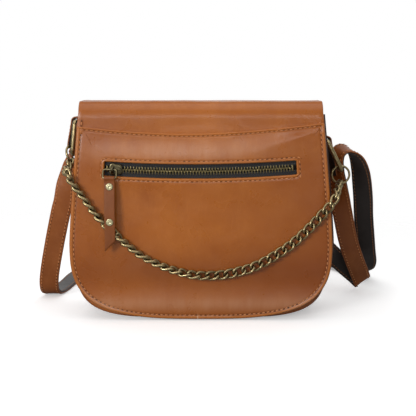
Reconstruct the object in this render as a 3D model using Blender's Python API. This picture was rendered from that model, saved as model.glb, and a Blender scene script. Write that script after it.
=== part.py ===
"""Leather satchel with a D shaped flap, a zip pocket in the flap, a curb chain
draped from side to side, and a long adjustable strap.

Metres, +Z up. The front looks along -Y, and X runs along the bag. The origin is
the middle of the flat bottom that the bag stands on.
"""

import math

import bmesh
import bpy
from mathutils import Matrix, Vector

# Whole bag
BODY_DEPTH = 0.072
BODY_TOP = 0.205
BACK_TOP = 0.213
LEATHER = 0.0018
FLAP_LEATHER = 0.0014
CLOTH = 0.0008
FIT_GAP = 0.0003
OVERRUN = 0.02

# D shaped outlines: half width at the top and at the widest, and the heights of both
SIDE_POWER = 1.2
BODY_HALF_TOP = 0.1275
BODY_HALF_WIDE = 0.133
BODY_WIDE_Z = 0.085
BODY_CORNER_POWER = 4.5
BASE_CUT = 0.001
FLAP_HALF_TOP = 0.1225
FLAP_HALF_WIDE = 0.1362
FLAP_TOP_Z = 0.228
FLAP_WIDE_Z = 0.080
FLAP_HEM_Z = 0.001
FLAP_CORNER_POWER = 3.1

# Folds of the flap over the top of the bag
FOLD_Z = 0.2157
FOLD_RADIUS = 0.0114
YOKE_FACE_Y = -0.0475
YOKE_TAIL_Z = 0.165
YOKE_LAP = 0.008
YOKE_HEM = 0.0045

# Seam between yoke and lower panel: a shallow dip
SEAM_DIP_X = -0.015
SEAM_DIP_Z = 0.1947
SEAM_RISE = 0.0105
SEAM_SPAN = 0.135
SEAM_POWER = 1.7

# Lower panel, its turned edge, the pouch behind the zip, and the flap's lining
HEM_WIDTH = 0.005
POUCH_ROOM = 0.005
POUCH_HALF = 0.110
POUCH_TOP_Z = 0.181
POUCH_BOTTOM_Z = 0.060
POUCH_HEM = 0.003
POUCH_CORNER = 0.015
FLAP_LINING = 0.001
LINING_INSET = 0.0008

# Hidden magnetic snap
SNAP_RADIUS = 0.009
SNAP_Z = 0.046

# Slip pocket inside
SLIP_HALF = 0.070
SLIP_TOP_Z = 0.150
SLIP_BOTTOM_Z = 0.045
SLIP_CORNER = 0.008

# Zip on a long shallow arc
ZIP_RADIUS = 1.35
ZIP_DIP_X = -0.008
ZIP_DIP_Z = 0.1563
SLOT_LEFT_MARGIN = 0.003
SLOT_RIGHT_MARGIN = 0.0035
SLOT_HALF = 0.007
TAPE_OUTER = 0.013
TAPE_THICK = 0.0006
TAPE_OVERHANG = 0.006
TOOTH_PITCH = 0.00298
TOOTH_WIDTH = 0.00115
TOOTH_TIP = 0.0009
TOOTH_ROOT = 0.0022
BEAD_OUTER = 0.0038
TOOTH_THICK = 0.0024
TEETH_MARGIN = 0.0055
STOP_LENGTH = 0.0020
STOP_HALF = 0.0034

# Slider, its arch, stirrup and leather pull
SLIDER_START = 0.0058
SLIDER_LENGTH = 0.014
SLIDER_HALF = 0.0064
SLIDER_NOSE_HALF = 0.0054
SLIDER_PLATE = 0.0012
ARCH_X = -0.0032
ARCH_WIDTH = 0.0024
ARCH_HALF = 0.0040
ARCH_ROOM = 0.0022
ARCH_THICK = 0.0012
STIRRUP_WIRE = 0.0008
STIRRUP_HALF = 0.0068
STIRRUP_X = -0.0058
STIRRUP_CORNER = 0.0009
STIRRUP_DROP = 0.0085
PULL_STAND_OFF = 0.0065
PULL_HALF = 0.0054
PULL_LAYER = 0.0012
PULL_LENGTH = 0.077
PULL_SLANT = 0.0105
RIVET_RADIUS = 0.0037
RIVET_DOME = 0.0009
RIVET_UPPER_DROP = 0.0085
RIVET_LOWER_DROP = 0.0445

# Tabs and D-rings on the sides
RING_WIRE = 0.00225
RING_HALF = 0.01825
RING_DEPTH = 0.034
RING_TOP_CORNER = 0.0035
RING_LOW_CORNER = 0.006
TAB_HALF = 0.0095
TAB_LEATHER = 0.0016
TAB_PLATE = 0.024
LEFT_BAR_Z = 0.205
LEFT_RING_ROOM = 0.00425
LEFT_TAIL_DROP = 0.026
LEFT_TAIL_FLARE = 0.0045
RIGHT_BAR_Z = 0.1845
RIGHT_RING_ROOM = 0.01636
RIGHT_TAIL_DROP = 0.012
RIGHT_TAIL_FLARE = 0.0050

# O-rings between the D-rings and the chain
O_RADIUS = 0.0093
O_WIRE = 0.0011
O_SIDE_Y = -0.0103
O_SAG = 0.0053
LEFT_O_SAG = 0.0025
LEFT_O_CORNER_DEG = 45
LEFT_O_TURN_DEG = 55

# Curb chain
CHAIN_LINKS = 45
LINK_WIRE = 0.0011
LINK_HALF_WIDTH = 0.0034
LINK_BITE = 0.0008
LINK_SLACK = 0.0004
LINK_POINTS = 10
HOOK_REACH = 0.0030
CHAIN_STAND_OFF = 0.0027
CHAIN_LOW_Z = 0.0505
CHAIN_RISE = 0.083
CHAIN_TURN = 0.008

# The chain's route over the flap: shares of the flap's half width, and of the rise above the lowest place
CHAIN_SWAG_SHARES = (
    (-0.870, 1.000), (-0.734, 0.723), (-0.624, 0.506), (-0.507, 0.331), (-0.389, 0.196), (-0.275, 0.102),
    (-0.154, 0.036), (0.000, 0.000), (0.162, 0.006), (0.301, 0.048), (0.419, 0.114), (0.529, 0.211),
    (0.639, 0.337), (0.749, 0.500), (0.844, 0.657),
)
# Its turns round the flap's edges: shares of the turn beyond the edge and behind the face, a share of the
# rise, and the way the links look, outwards and forwards
CHAIN_LEFT_TURN_SHARES = (
    (0.125, 1.863, 1.253, (1, 0)), (0.075, 0.925, 1.208, (1, 0.2)),
    (-0.275, 0.175, 1.166, (0.8, 1)), (-1.025, -0.088, 1.114, (0.1, 1)),
)
CHAIN_RIGHT_TURN_SHARES = (
    (-1.213, -0.013, 0.801, (0, 1)), (-0.463, -0.113, 0.864, (0.2, 1)), (0.288, 0.175, 0.916, (0.8, 1)),
    (0.725, 0.988, 0.958, (1, 0.2)), (0.975, 2.238, 1.000, (1, 0)), (1.250, 3.550, 1.036, (1, -0.1)),
)

# Strap of two layers
STRAP_WIDTH = 0.022
STRAP_LEATHER = 0.0016
STRAP_LINING = 0.0011
STRAP_STEP = 0.032
STRAP_BEND_DEG = 15
STRAP_FLARE = 0.045
STRAP_SPREAD = 0.200
STRAP_BACK = 0.248

# The strap's route, each place with the way its leather looks.
# Loops round the D-rings: shares of the wrap round the wire, outwards, backwards and up from the lower bar
STRAP_LEFT_LOOP_SHARES = (
    ((0.691, 0.741, -3.511), (-0.87, 0, -0.5)), ((-0.222, 0.741, -1.906), (-0.87, 0, -0.5)),
    ((-0.938, 0.741, -0.672), (-1, 0, -0.3)), ((-1.012, 0.741, 0.563), (-0.95, 0, 0.4)),
    ((-0.025, 0.741, 1.427), (0, 0, 1)), ((1.062, 0.741, 0.563), (1, 0, 0.4)),
    ((1.358, 0.741, -0.795), (1, 0, 0)), ((1.926, 0.741, -3.264), (1, -0.05, 0.2)),
)
STRAP_RIGHT_LOOP_SHARES = (
    ((-1.175, 0.864, -0.578), (-1, 0, 0)), ((-1.274, 0.741, 1.891), (-1, 0, 0.1)),
    ((-0.632, 0.741, 4.114), (-0.75, 0, 0.66)), ((0.800, 0.741, 5.299), (0, 0, 1)),
    ((2.775, 0.988, 4.904), (0.5, 0, 0.87)), ((4.553, 1.975, 2.756), (0.85, 0.1, 0.5)),
)
# Falls: shares of the flare beyond the lower bar, of the reach behind, and of the lower bar's height
STRAP_LEFT_FALL_SHARES = (
    ((0.204, 0.0137, 0.8585), (0.9, -0.42, 0)), ((0.258, 0.0202, 0.7826), (0.5, -0.87, 0)),
    ((0.338, 0.0343, 0.6892), (0.1, -1, 0)), ((0.427, 0.0484, 0.6132), (0.05, -1, 0)),
    ((0.649, 0.0887, 0.3913), (0.05, -1, -0.1)), ((0.838, 0.1331, 0.1811), (0.05, -0.95, -0.2)),
    ((0.893, 0.1694, 0.0701), (0, -0.75, -0.66)),
)
STRAP_RIGHT_RISE_SHARES = (
    ((0.983, 0.2661, 0.0648), (0, -0.8, -0.6)), ((0.894, 0.2339, 0.1620), (-0.05, -1, -0.1)),
    ((0.672, 0.1976, 0.2916), (-0.05, -1, 0)), ((0.416, 0.1613, 0.4341), (-0.05, -1, 0)),
    ((0.172, 0.1008, 0.6220), (-0.2, -1, 0)), ((0.010, 0.0504, 0.8034), (-0.75, -0.66, 0)),
    ((-0.052, 0.0282, 0.8974), (-0.95, -0.3, 0)),
)
STRAP_TAIL_FALL_SHARES = (
    ((0.516, 0.0565, 0.9848), (0.9, 0.4, 0.2)), ((0.588, 0.0847, 0.8941), (0.6, 0.8, 0.1)),
    ((0.694, 0.1331, 0.7516), (0.3, 0.9, 0.2)), ((0.783, 0.1935, 0.6026), (0.25, 0.9, 0.35)),
    ((0.983, 0.3145, 0.3240), (0.15, 0.8, 0.55)), ((1.183, 0.4395, 0.1037), (0.1, 0.6, 0.8)),
)
# Lengths on the ground: shares of the spread, of the reach behind, and of the lift into the adjuster
STRAP_LOW_LIE_SHARES = (
    ((-0.873, 0.2177, 0.82), (0, -0.25, -0.97)), ((-0.855, 0.2903, 0), (0, 0, -1)),
    ((-0.830, 0.4435, 0), (0, 0, -1)), ((-0.805, 0.6452, 0), (0, 0, -1)),
    ((-0.730, 0.8306, 0), (0, 0, -1)), ((-0.570, 0.9516, 0), (0, 0, -1)),
    ((-0.360, 0.9960, 0.09), (0, 0, -1)), ((-0.150, 1, 0.82), (0, 0, -1)), ((0, 1, 1), (0, 0, -1)),
    ((0.300, 1, 1), (0, 0, -1)), ((0.475, 0.9960, 0.73), (0, 0, -1)), ((0.680, 0.9556, 0.09), (0, 0, -1)),
    ((0.830, 0.8387, 0), (0, 0, -1)), ((0.895, 0.6935, 0), (0, 0, -1)), ((0.925, 0.5444, 0), (0, 0, -1)),
    ((0.950, 0.4032, 0), (0, 0, -1)), ((0.965, 0.3145, 0.73), (0, -0.3, -0.95)),
)
STRAP_TOP_LIE_SHARES = (
    ((1.010, 0.5161, 0.55), (0, 0.2, 0.98)), ((0.980, 0.6048, 0), (0, 0, 1)),
    ((0.925, 0.7097, 0), (0, 0, 1)), ((0.845, 0.8427, 0.06), (0, 0, 1)), ((0.685, 0.9597, 0.36), (0, 0, 1)),
    ((0.475, 1, 0.91), (0, 0, 1)), ((0.300, 1, 1), (0, 0, 1)), ((0.100, 1, 1), (0, 0, 1)),
)

# Slide adjuster on the strap behind the bag
SLIDE_X = 0.060
SLIDE_BAR = 0.0018
SLIDE_CENTRE_BAR = 0.0012
SLIDE_SIDE = 0.0026
SLIDE_THICK = 0.003
SLIDE_ROOM = 0.0003

FRONT_Y = -BODY_DEPTH / 2
BACK_Y = BODY_DEPTH / 2
PANEL_FACE_Y = YOKE_FACE_Y - FIT_GAP - FLAP_LEATHER
PANEL_BACK_Y = PANEL_FACE_Y + FLAP_LEATHER
POUCH_FRONT_Y = PANEL_BACK_Y + FIT_GAP
POUCH_FLOOR_Y = POUCH_FRONT_Y + POUCH_ROOM
LINING_FRONT_Y = POUCH_FLOOR_Y + CLOTH + FIT_GAP
LINING_BACK_Y = LINING_FRONT_Y + FLAP_LINING
HEM_BACK_Y = LINING_FRONT_Y - FIT_GAP
BACK_FOLD_Y = BACK_Y + FIT_GAP + FLAP_LEATHER
STRAP_THICK = STRAP_LEATHER + FIT_GAP + STRAP_LINING
ZIP_CENTRE_Z = ZIP_DIP_Z + ZIP_RADIUS
TAPE_REACH = POUCH_HALF - POUCH_HEM - TAPE_OVERHANG
SLOT_LEFT = -TAPE_REACH + SLOT_LEFT_MARGIN - ZIP_DIP_X
SLOT_RIGHT = TAPE_REACH - SLOT_RIGHT_MARGIN - ZIP_DIP_X
TEETH_LEFT = SLOT_LEFT + TEETH_MARGIN
TEETH = int((SLOT_RIGHT - STOP_LENGTH - 2 * FIT_GAP - TEETH_LEFT) / TOOTH_PITCH)
SLIDER_PLACE = TEETH_LEFT + SLIDER_START
ROW_LEFT = TEETH_LEFT - TOOTH_PITCH / 2
ROW_RIGHT = TEETH_LEFT + TEETH * TOOTH_PITCH
CHAIN_FACE_Y = PANEL_FACE_Y - CHAIN_STAND_OFF
STRAP_WRAP = RING_WIRE + FIT_GAP + STRAP_THICK / 2
LIE_LOW_Z = FIT_GAP + STRAP_THICK / 2
LIE_TOP_Z = LIE_LOW_Z + STRAP_THICK + 2 * FIT_GAP
SLIDE_LOW_Z = FIT_GAP + SLIDE_BAR + SLIDE_ROOM + STRAP_THICK / 2
SLIDE_TOP_Z = SLIDE_LOW_Z + STRAP_THICK + 2 * SLIDE_ROOM + SLIDE_CENTRE_BAR

for stale in list(bpy.data.objects):
    bpy.data.objects.remove(stale, do_unlink=True)

parts = bpy.data.collections.new("satchel")
cutters = bpy.data.collections.new("satchel_cutters")
bpy.context.scene.collection.children.link(parts)
bpy.context.scene.collection.children.link(cutters)


def make_material(name, colour, roughness, metallic=0.0):
    """A Principled material of one colour."""
    material = bpy.data.materials.new(name)
    material.use_nodes = True
    shader = material.node_tree.nodes["Principled BSDF"]
    shader.inputs["Base Color"].default_value = (*colour, 1)
    shader.inputs["Roughness"].default_value = roughness
    shader.inputs["Metallic"].default_value = metallic
    return material


TAN = ((0.40, 0.14, 0.045), 0.45, 0.0)
BROWN = ((0.28, 0.09, 0.035), 0.45, 0.0)
BLACK_CLOTH = ((0.012, 0.012, 0.014), 0.9, 0.0)
LINING_CLOTH = ((0.05, 0.035, 0.025), 0.9, 0.0)
ANTIQUE_BRASS = ((0.33, 0.25, 0.11), 0.35, 1.0)
STEEL = ((0.55, 0.55, 0.55), 0.3, 1.0)


def finish(obj, look, smooth=True):
    """Names the object's own material and shades it."""
    obj.data.materials.append(make_material(obj.name, *look))
    if smooth:
        obj.data.shade_smooth()
        obj.data.set_sharp_from_angle(angle=math.radians(35))
    return obj


def link_part(name, mesh, look, smooth=True):
    """A named part from a mesh whose points are already in place."""
    obj = bpy.data.objects.new(name, mesh)
    parts.objects.link(obj)
    return finish(obj, look, smooth)


def curve_mesh(curve_obj):
    """The welded mesh of a curve object, in world space. The curve is removed."""
    bpy.context.view_layer.update()
    evaluated = curve_obj.evaluated_get(bpy.context.evaluated_depsgraph_get())
    mesh = bpy.data.meshes.new_from_object(evaluated)
    work = bmesh.new()
    work.from_mesh(mesh)
    bmesh.ops.transform(work, matrix=curve_obj.matrix_world, verts=work.verts)
    bmesh.ops.remove_doubles(work, verts=work.verts, dist=FIT_GAP / 30)
    bmesh.ops.recalc_face_normals(work, faces=work.faces)
    work.to_mesh(mesh)
    work.free()
    mesh.name = curve_obj.name
    bpy.data.objects.remove(curve_obj, do_unlink=True)
    return mesh


def plane_frame(plane):
    """Maps an outline's two numbers and its depth to XZ (depth -Y) or YZ (depth X)."""
    if plane == "XZ":
        return Matrix(((1, 0, 0, 0), (0, 0, -1, 0), (0, 1, 0, 0), (0, 0, 0, 1)))
    return Matrix(((0, 0, 1, 0), (1, 0, 0, 0), (0, 1, 0, 0), (0, 0, 0, 1)))


def slab_mesh(name, outlines, low, high, plane="XZ"):
    """A flat piece between two depths, with its outline first and any holes after."""
    curve = bpy.data.curves.new(name, "CURVE")
    curve.dimensions = "2D"
    curve.fill_mode = "BOTH"
    curve.resolution_u = 1
    curve.render_resolution_u = 0
    curve.extrude = (high - low) / 2
    for outline in outlines:
        spline = curve.splines.new("POLY")
        spline.points.add(len(outline) - 1)
        for point, (u, v) in zip(spline.points, outline):
            point.co = (u, v, 0, 1)
        spline.use_cyclic_u = True
    obj = bpy.data.objects.new(name, curve)
    parts.objects.link(obj)
    shift = (low + high) / 2
    depth = Vector((0, shift, 0)) if plane == "XZ" else Vector((shift, 0, 0))
    obj.matrix_world = Matrix.Translation(depth) @ plane_frame(plane)
    return curve_mesh(obj)


def slab(name, outlines, low, high, look, plane="XZ"):
    """A flat piece as a part."""
    return link_part(name, slab_mesh(name, outlines, low, high, plane), look)


def cut(target, name, mesh):
    """Cuts a mesh out of a part, with the cutter kept in the cutters' collection."""
    tool = bpy.data.objects.new(name, mesh)
    tool.hide_render = True
    tool.display_type = "WIRE"
    cutters.objects.link(tool)
    boolean = target.modifiers.new(name, "BOOLEAN")
    boolean.operation = "DIFFERENCE"
    boolean.object = tool


def wire_mesh(name, routes, radius, cyclic=True, sides_level=1):
    """Round wire along one or more routes."""
    curve = bpy.data.curves.new(name, "CURVE")
    curve.dimensions = "3D"
    curve.bevel_depth = radius
    curve.bevel_resolution = sides_level
    curve.resolution_u = 1
    curve.render_resolution_u = 0
    curve.use_fill_caps = not cyclic
    for route in routes:
        spline = curve.splines.new("POLY")
        spline.points.add(len(route) - 1)
        for point, place in zip(spline.points, route):
            point.co = (*place, 1)
        spline.use_cyclic_u = cyclic
    obj = bpy.data.objects.new(name, curve)
    parts.objects.link(obj)
    return curve_mesh(obj)


def disc(name, radius, top_radius, place_x, place_z, low_y, high_y, look, sides=24):
    """A round disc facing the front, narrower on its front face."""
    work = bmesh.new()
    bmesh.ops.create_cone(work, cap_ends=True, segments=sides, radius1=radius,
                          radius2=top_radius, depth=high_y - low_y)
    mesh = bpy.data.meshes.new(name)
    work.to_mesh(mesh)
    work.free()
    obj = bpy.data.objects.new(name, mesh)
    obj.rotation_euler = (math.pi / 2, 0, 0)
    obj.location = (place_x, (low_y + high_y) / 2, place_z)
    parts.objects.link(obj)
    return finish(obj, look)


class Outline:
    """A D shape: sides that widen downwards, then rounded corners and a base."""

    def __init__(self, half_top, half_wide, top_z, wide_z, bottom_z, power, inset=0.0, floor_z=None):
        self.half_top = half_top - inset
        self.half_wide = half_wide - inset
        self.top_z, self.wide_z = top_z, wide_z
        self.bottom_z = bottom_z + inset
        self.power = power
        self.floor_z = self.bottom_z if floor_z is None else floor_z + inset

    def half(self, z):
        """Half the width at a height."""
        if z >= self.wide_z:
            rise = (z - self.wide_z) / (self.top_z - self.wide_z)
            return self.half_wide - (self.half_wide - self.half_top) * rise ** SIDE_POWER
        fall = (self.wide_z - z) / (self.wide_z - self.bottom_z)
        return self.half_wide * max(1 - fall ** self.power, 0) ** (1 / self.power)

    def right_side(self, start_z, side_points=6, corner_points=14):
        """Points from a start height down the right side to the middle of the base."""
        points = []
        for k in range(side_points):
            z = start_z + (self.wide_z - start_z) * k / side_points
            points.append((self.half(z), z))
        drop = self.wide_z - self.bottom_z
        for k in range(corner_points):
            turn = math.pi / 2 * k / corner_points
            x = self.half_wide * math.cos(turn) ** (2 / self.power)
            z = self.wide_z - drop * math.sin(turn) ** (2 / self.power)
            if z < self.floor_z:
                break
            points.append((x, z))
        if self.floor_z > self.bottom_z:
            points.append((self.half(self.floor_z), self.floor_z))
        else:
            points.append((0.0, self.floor_z))
        return points

    def closed(self, start_z, **counts):
        """The whole outline, with a straight top."""
        right = self.right_side(start_z, **counts)
        left = [(-x, z) for x, z in reversed(right) if x > 0]
        return right + left


def body_outline(inset=0.0):
    return Outline(BODY_HALF_TOP, BODY_HALF_WIDE, BODY_TOP, BODY_WIDE_Z, -BASE_CUT,
                   BODY_CORNER_POWER, inset, floor_z=0.0)


def flap_outline(inset=0.0):
    return Outline(FLAP_HALF_TOP, FLAP_HALF_WIDE, FLAP_TOP_Z, FLAP_WIDE_Z, FLAP_HEM_Z,
                   FLAP_CORNER_POWER, inset)


def seam_z(x):
    """Height of the seam between yoke and lower panel."""
    return SEAM_DIP_Z + SEAM_RISE * (abs(x - SEAM_DIP_X) / SEAM_SPAN) ** SEAM_POWER


def seam_line(half, drop=0.0, count=18):
    """The seam from left to right, moved down by a drop."""
    line = []
    for k in range(count + 1):
        x = -half + 2 * half * k / count
        line.append((x, seam_z(x) - drop))
    return line


def rounded_rectangle(left, right, bottom, top, radius, steps=4):
    """Corners as arcs, counted from the lower right one."""
    points = []
    for x, z, start in ((right - radius, bottom + radius, -90), (right - radius, top - radius, 0),
                        (left + radius, top - radius, 90), (left + radius, bottom + radius, 180)):
        for k in range(steps + 1):
            turn = math.radians(start + 90 * k / steps)
            points.append((x + radius * math.cos(turn), z + radius * math.sin(turn)))
    return points


def arc_points(centre_u, centre_v, radius, start_deg, end_deg, steps):
    """Points on an arc in an outline's plane."""
    points = []
    for k in range(steps + 1):
        turn = math.radians(start_deg + (end_deg - start_deg) * k / steps)
        points.append((centre_u + radius * math.cos(turn), centre_v + radius * math.sin(turn)))
    return points


def thick_line(path, thickness):
    """A closed outline of even thickness round a bent centre line."""
    left, right = [], []
    for k, (u, v) in enumerate(path):
        before = path[max(k - 1, 0)]
        after = path[min(k + 1, len(path) - 1)]
        along = Vector((after[0] - before[0], after[1] - before[1])).normalized()
        aside = Vector((-along.y, along.x)) * thickness / 2
        left.append((u + aside.x, v + aside.y))
        right.append((u - aside.x, v - aside.y))
    return left + right[::-1]


def zip_place(along, drop=0.0):
    """A point of the zip: a length along its arc, and a distance below its centre line."""
    turn = along / ZIP_RADIUS
    reach = ZIP_RADIUS + drop
    return ZIP_DIP_X + reach * math.sin(turn), ZIP_CENTRE_Z - reach * math.cos(turn)


def zip_band(left, right, upper, lower, steps=14):
    """A band along the zip's arc between two distances from its centre line."""
    tops, bottoms = [], []
    for k in range(steps + 1):
        along = left + (right - left) * k / steps
        tops.append(zip_place(along, upper))
        bottoms.append(zip_place(along, lower))
    return tops + bottoms[::-1]


def build_body():
    """Gusset, panels, lining, slip pocket and the lower half of the snap."""
    inner_front = FRONT_Y + LEATHER
    inner_back = BACK_Y - LEATHER
    outer = body_outline()
    slab("front_panel", [outer.closed(BODY_TOP)], FRONT_Y, inner_front, TAN)
    slab("back_panel", [outer.closed(BACK_TOP)], inner_back, BACK_Y, TAN)

    inner = body_outline(LEATHER)
    strip = outer.closed(BODY_TOP) + inner.closed(BODY_TOP)[::-1]
    slab("gusset", [strip], inner_front + FIT_GAP, inner_back - FIT_GAP, BROWN)

    cloth_outer = body_outline(LEATHER + FIT_GAP)
    cloth_inner = body_outline(LEATHER + FIT_GAP + CLOTH)
    mouth_z = BODY_TOP - LEATHER
    lining = slab("lining", [cloth_outer.closed(mouth_z)], inner_front + FIT_GAP,
                  inner_back - FIT_GAP, LINING_CLOTH)
    room = slab_mesh("lining_room", [cloth_inner.closed(mouth_z + OVERRUN)],
                     inner_front + FIT_GAP + CLOTH, inner_back - FIT_GAP - CLOTH)
    cut(lining, "lining_room", room)

    slip_back = inner_back - FIT_GAP - CLOTH - FIT_GAP
    slip = rounded_rectangle(-SLIP_HALF, SLIP_HALF, SLIP_BOTTOM_Z, SLIP_TOP_Z, SLIP_CORNER)
    slab("inner_pocket", [slip], slip_back - CLOTH, slip_back, LINING_CLOTH)

    snap_room = FRONT_Y - LINING_BACK_Y
    snap_thick = (snap_room - 3 * FIT_GAP) / 2
    socket_back = FRONT_Y - FIT_GAP
    disc("snap_socket", SNAP_RADIUS, SNAP_RADIUS * 0.92, 0, SNAP_Z,
         socket_back - snap_thick, socket_back, STEEL)
    stud_front = LINING_BACK_Y + FIT_GAP
    disc("snap_stud", SNAP_RADIUS, SNAP_RADIUS, 0, SNAP_Z,
         stud_front, stud_front + snap_thick, STEEL)


def build_flap():
    """The yoke in its three lengths, the lower panel, the pouch and the lining."""
    half_leather = FLAP_LEATHER / 2
    half_top = flap_outline().half(FOLD_Z)
    back_mid = BACK_FOLD_Y - half_leather
    yoke_mid = YOKE_FACE_Y + half_leather
    arc_mid = FOLD_RADIUS - half_leather
    slab("yoke_back", [[(half_top, FOLD_Z - FIT_GAP / 2), (-half_top, FOLD_Z - FIT_GAP / 2),
                        (-half_top, YOKE_TAIL_Z), (half_top, YOKE_TAIL_Z)]],
         BACK_FOLD_Y - FLAP_LEATHER, BACK_FOLD_Y, TAN)

    over_back = arc_points(BACK_FOLD_Y - FOLD_RADIUS, FOLD_Z + FIT_GAP / 2, arc_mid, 0, 90, 6)
    over_front = arc_points(YOKE_FACE_Y + FOLD_RADIUS, FOLD_Z + FIT_GAP / 2, arc_mid, 90, 180, 6)
    over_back[0] = (back_mid, FOLD_Z + FIT_GAP / 2)
    over_front[-1] = (yoke_mid, FOLD_Z + FIT_GAP / 2)
    slab("yoke_top", [thick_line(over_back + over_front, FLAP_LEATHER)],
         -half_top, half_top, TAN, plane="YZ")

    outline = flap_outline()
    top_z = FOLD_Z - FIT_GAP / 2
    lap_half = outline.half(SEAM_DIP_Z) - LINING_INSET
    yoke_low = seam_line(lap_half, YOKE_LAP)
    yoke_outline = [(half_top, top_z), (-half_top, top_z)] + yoke_low
    yoke = slab("flap_yoke", [yoke_outline], YOKE_FACE_Y, HEM_BACK_Y, TAN)
    hem_half = half_top - YOKE_HEM
    yoke_room = [(-hem_half, YOKE_TAIL_Z), (hem_half, YOKE_TAIL_Z),
                 (hem_half, FOLD_Z + OVERRUN), (-hem_half, FOLD_Z + OVERRUN)]
    cut(yoke, "yoke_room", slab_mesh("yoke_room", [yoke_room], YOKE_FACE_Y + FLAP_LEATHER,
                                     HEM_BACK_Y + OVERRUN))

    corner_x = outline.half(SEAM_DIP_Z + SEAM_RISE)
    seam = seam_line(corner_x)
    right = outline.right_side(seam[-1][1])[1:]
    left = [(-x, z) for x, z in reversed(right[:-1])]
    panel = slab("flap_panel", [seam + right + left], PANEL_FACE_Y, HEM_BACK_Y, TAN)
    hem_start_z = SEAM_DIP_Z - YOKE_LAP - FIT_GAP
    room = flap_outline(HEM_WIDTH).closed(hem_start_z - FIT_GAP)
    cut(panel, "panel_room", slab_mesh("panel_room", [room], PANEL_BACK_Y, HEM_BACK_Y + OVERRUN))
    wide = FLAP_HALF_WIDE + OVERRUN
    lap_room = [(-wide, hem_start_z - 2 * FIT_GAP), (wide, hem_start_z - 2 * FIT_GAP),
                (wide, BODY_TOP + OVERRUN), (-wide, BODY_TOP + OVERRUN)]
    cut(panel, "lap_room", slab_mesh("lap_room", [lap_room], PANEL_BACK_Y, HEM_BACK_Y + OVERRUN))
    slot = zip_band(SLOT_LEFT, SLOT_RIGHT, -SLOT_HALF, SLOT_HALF)
    cut(panel, "zip_slot", slab_mesh("zip_slot", [slot], PANEL_FACE_Y - OVERRUN, PANEL_BACK_Y + FIT_GAP))

    lining = flap_outline(LINING_INSET)
    slab("flap_lining", [lining.closed(FOLD_Z - FIT_GAP)], LINING_FRONT_Y, LINING_BACK_Y, LINING_CLOTH)

    pouch = slab("zip_pocket", [rounded_rectangle(-POUCH_HALF, POUCH_HALF, POUCH_BOTTOM_Z, POUCH_TOP_Z,
                                                  POUCH_CORNER)],
                 POUCH_FRONT_Y, POUCH_FLOOR_Y + CLOTH, LINING_CLOTH)
    hollow = rounded_rectangle(-POUCH_HALF + POUCH_HEM, POUCH_HALF - POUCH_HEM,
                               POUCH_BOTTOM_Z + POUCH_HEM, POUCH_TOP_Z - POUCH_HEM,
                               POUCH_CORNER - POUCH_HEM)
    cut(pouch, "pouch_room", slab_mesh("pouch_room", [hollow], POUCH_FRONT_Y - OVERRUN, POUCH_FLOOR_Y))


def comb(side):
    """Outline of one row of teeth on its bead. side is -1 for the upper row."""
    first = TEETH_LEFT + (0 if side < 0 else TOOTH_PITCH / 2)
    points = [zip_place(ROW_LEFT, side * BEAD_OUTER), zip_place(ROW_LEFT, side * TOOTH_ROOT)]
    for k in range(TEETH):
        middle = first + k * TOOTH_PITCH
        for along, drop in ((-1, TOOTH_ROOT), (-1, -TOOTH_TIP), (1, -TOOTH_TIP), (1, TOOTH_ROOT)):
            points.append(zip_place(middle + along * TOOTH_WIDTH / 2, side * drop))
    points.append(zip_place(ROW_RIGHT, side * TOOTH_ROOT))
    steps = 14
    for k in range(steps):
        points.append(zip_place(ROW_RIGHT + (ROW_LEFT - ROW_RIGHT) * k / steps, side * BEAD_OUTER))
    return points


def build_zip():
    """Tapes, rows of teeth, stops, slider, stirrup and pull."""
    tape_front = POUCH_FRONT_Y
    tape_mid = tape_front + TAPE_THICK / 2
    teeth_front = tape_mid - TOOTH_THICK / 2
    teeth_back = tape_mid + TOOTH_THICK / 2
    tape_left, tape_right = SLOT_LEFT - TAPE_OVERHANG, SLOT_RIGHT + TAPE_OVERHANG
    for name, side in (("upper", -1), ("lower", 1)):
        band = zip_band(tape_left, tape_right, side * TAPE_OUTER, side * (BEAD_OUTER + FIT_GAP))
        slab("zip_tape_" + name, [band], tape_front, tape_front + TAPE_THICK, BLACK_CLOTH)
        slab("zip_teeth_" + name, [comb(side)], teeth_front, teeth_back, ANTIQUE_BRASS)

    for name, start in (("left", ROW_LEFT - FIT_GAP - STOP_LENGTH), ("right", ROW_RIGHT + FIT_GAP)):
        band = zip_band(start, start + STOP_LENGTH, -STOP_HALF, STOP_HALF, steps=1)
        slab("zip_stop_" + name, [band], teeth_front, teeth_back, ANTIQUE_BRASS)

    plate_back = teeth_front - FIT_GAP
    plate_front = plate_back - SLIDER_PLATE
    build_slider(plate_front, plate_back, teeth_back + FIT_GAP, tape_front - FIT_GAP)
    build_pull(plate_front)


def slider_frame():
    """Where the slider stands on the zip, and how it leans along the arc."""
    x, z = zip_place(SLIDER_PLACE)
    return Matrix.Translation((x, 0, z)) @ Matrix.Rotation(-SLIDER_PLACE / ZIP_RADIUS, 4, "Y")


def in_slider_frame(mesh):
    mesh.transform(slider_frame())
    return mesh


def slider_plate_outline():
    """Rounded plate, broader at its open end on the left."""
    half_length = SLIDER_LENGTH / 2
    points = arc_points(half_length - SLIDER_NOSE_HALF, 0, SLIDER_NOSE_HALF, -90, 90, 8)
    points += [(-half_length + SLIDER_PLATE, SLIDER_HALF), (-half_length, SLIDER_HALF - SLIDER_PLATE),
               (-half_length, SLIDER_PLATE - SLIDER_HALF), (-half_length + SLIDER_PLATE, -SLIDER_HALF)]
    return points


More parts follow.
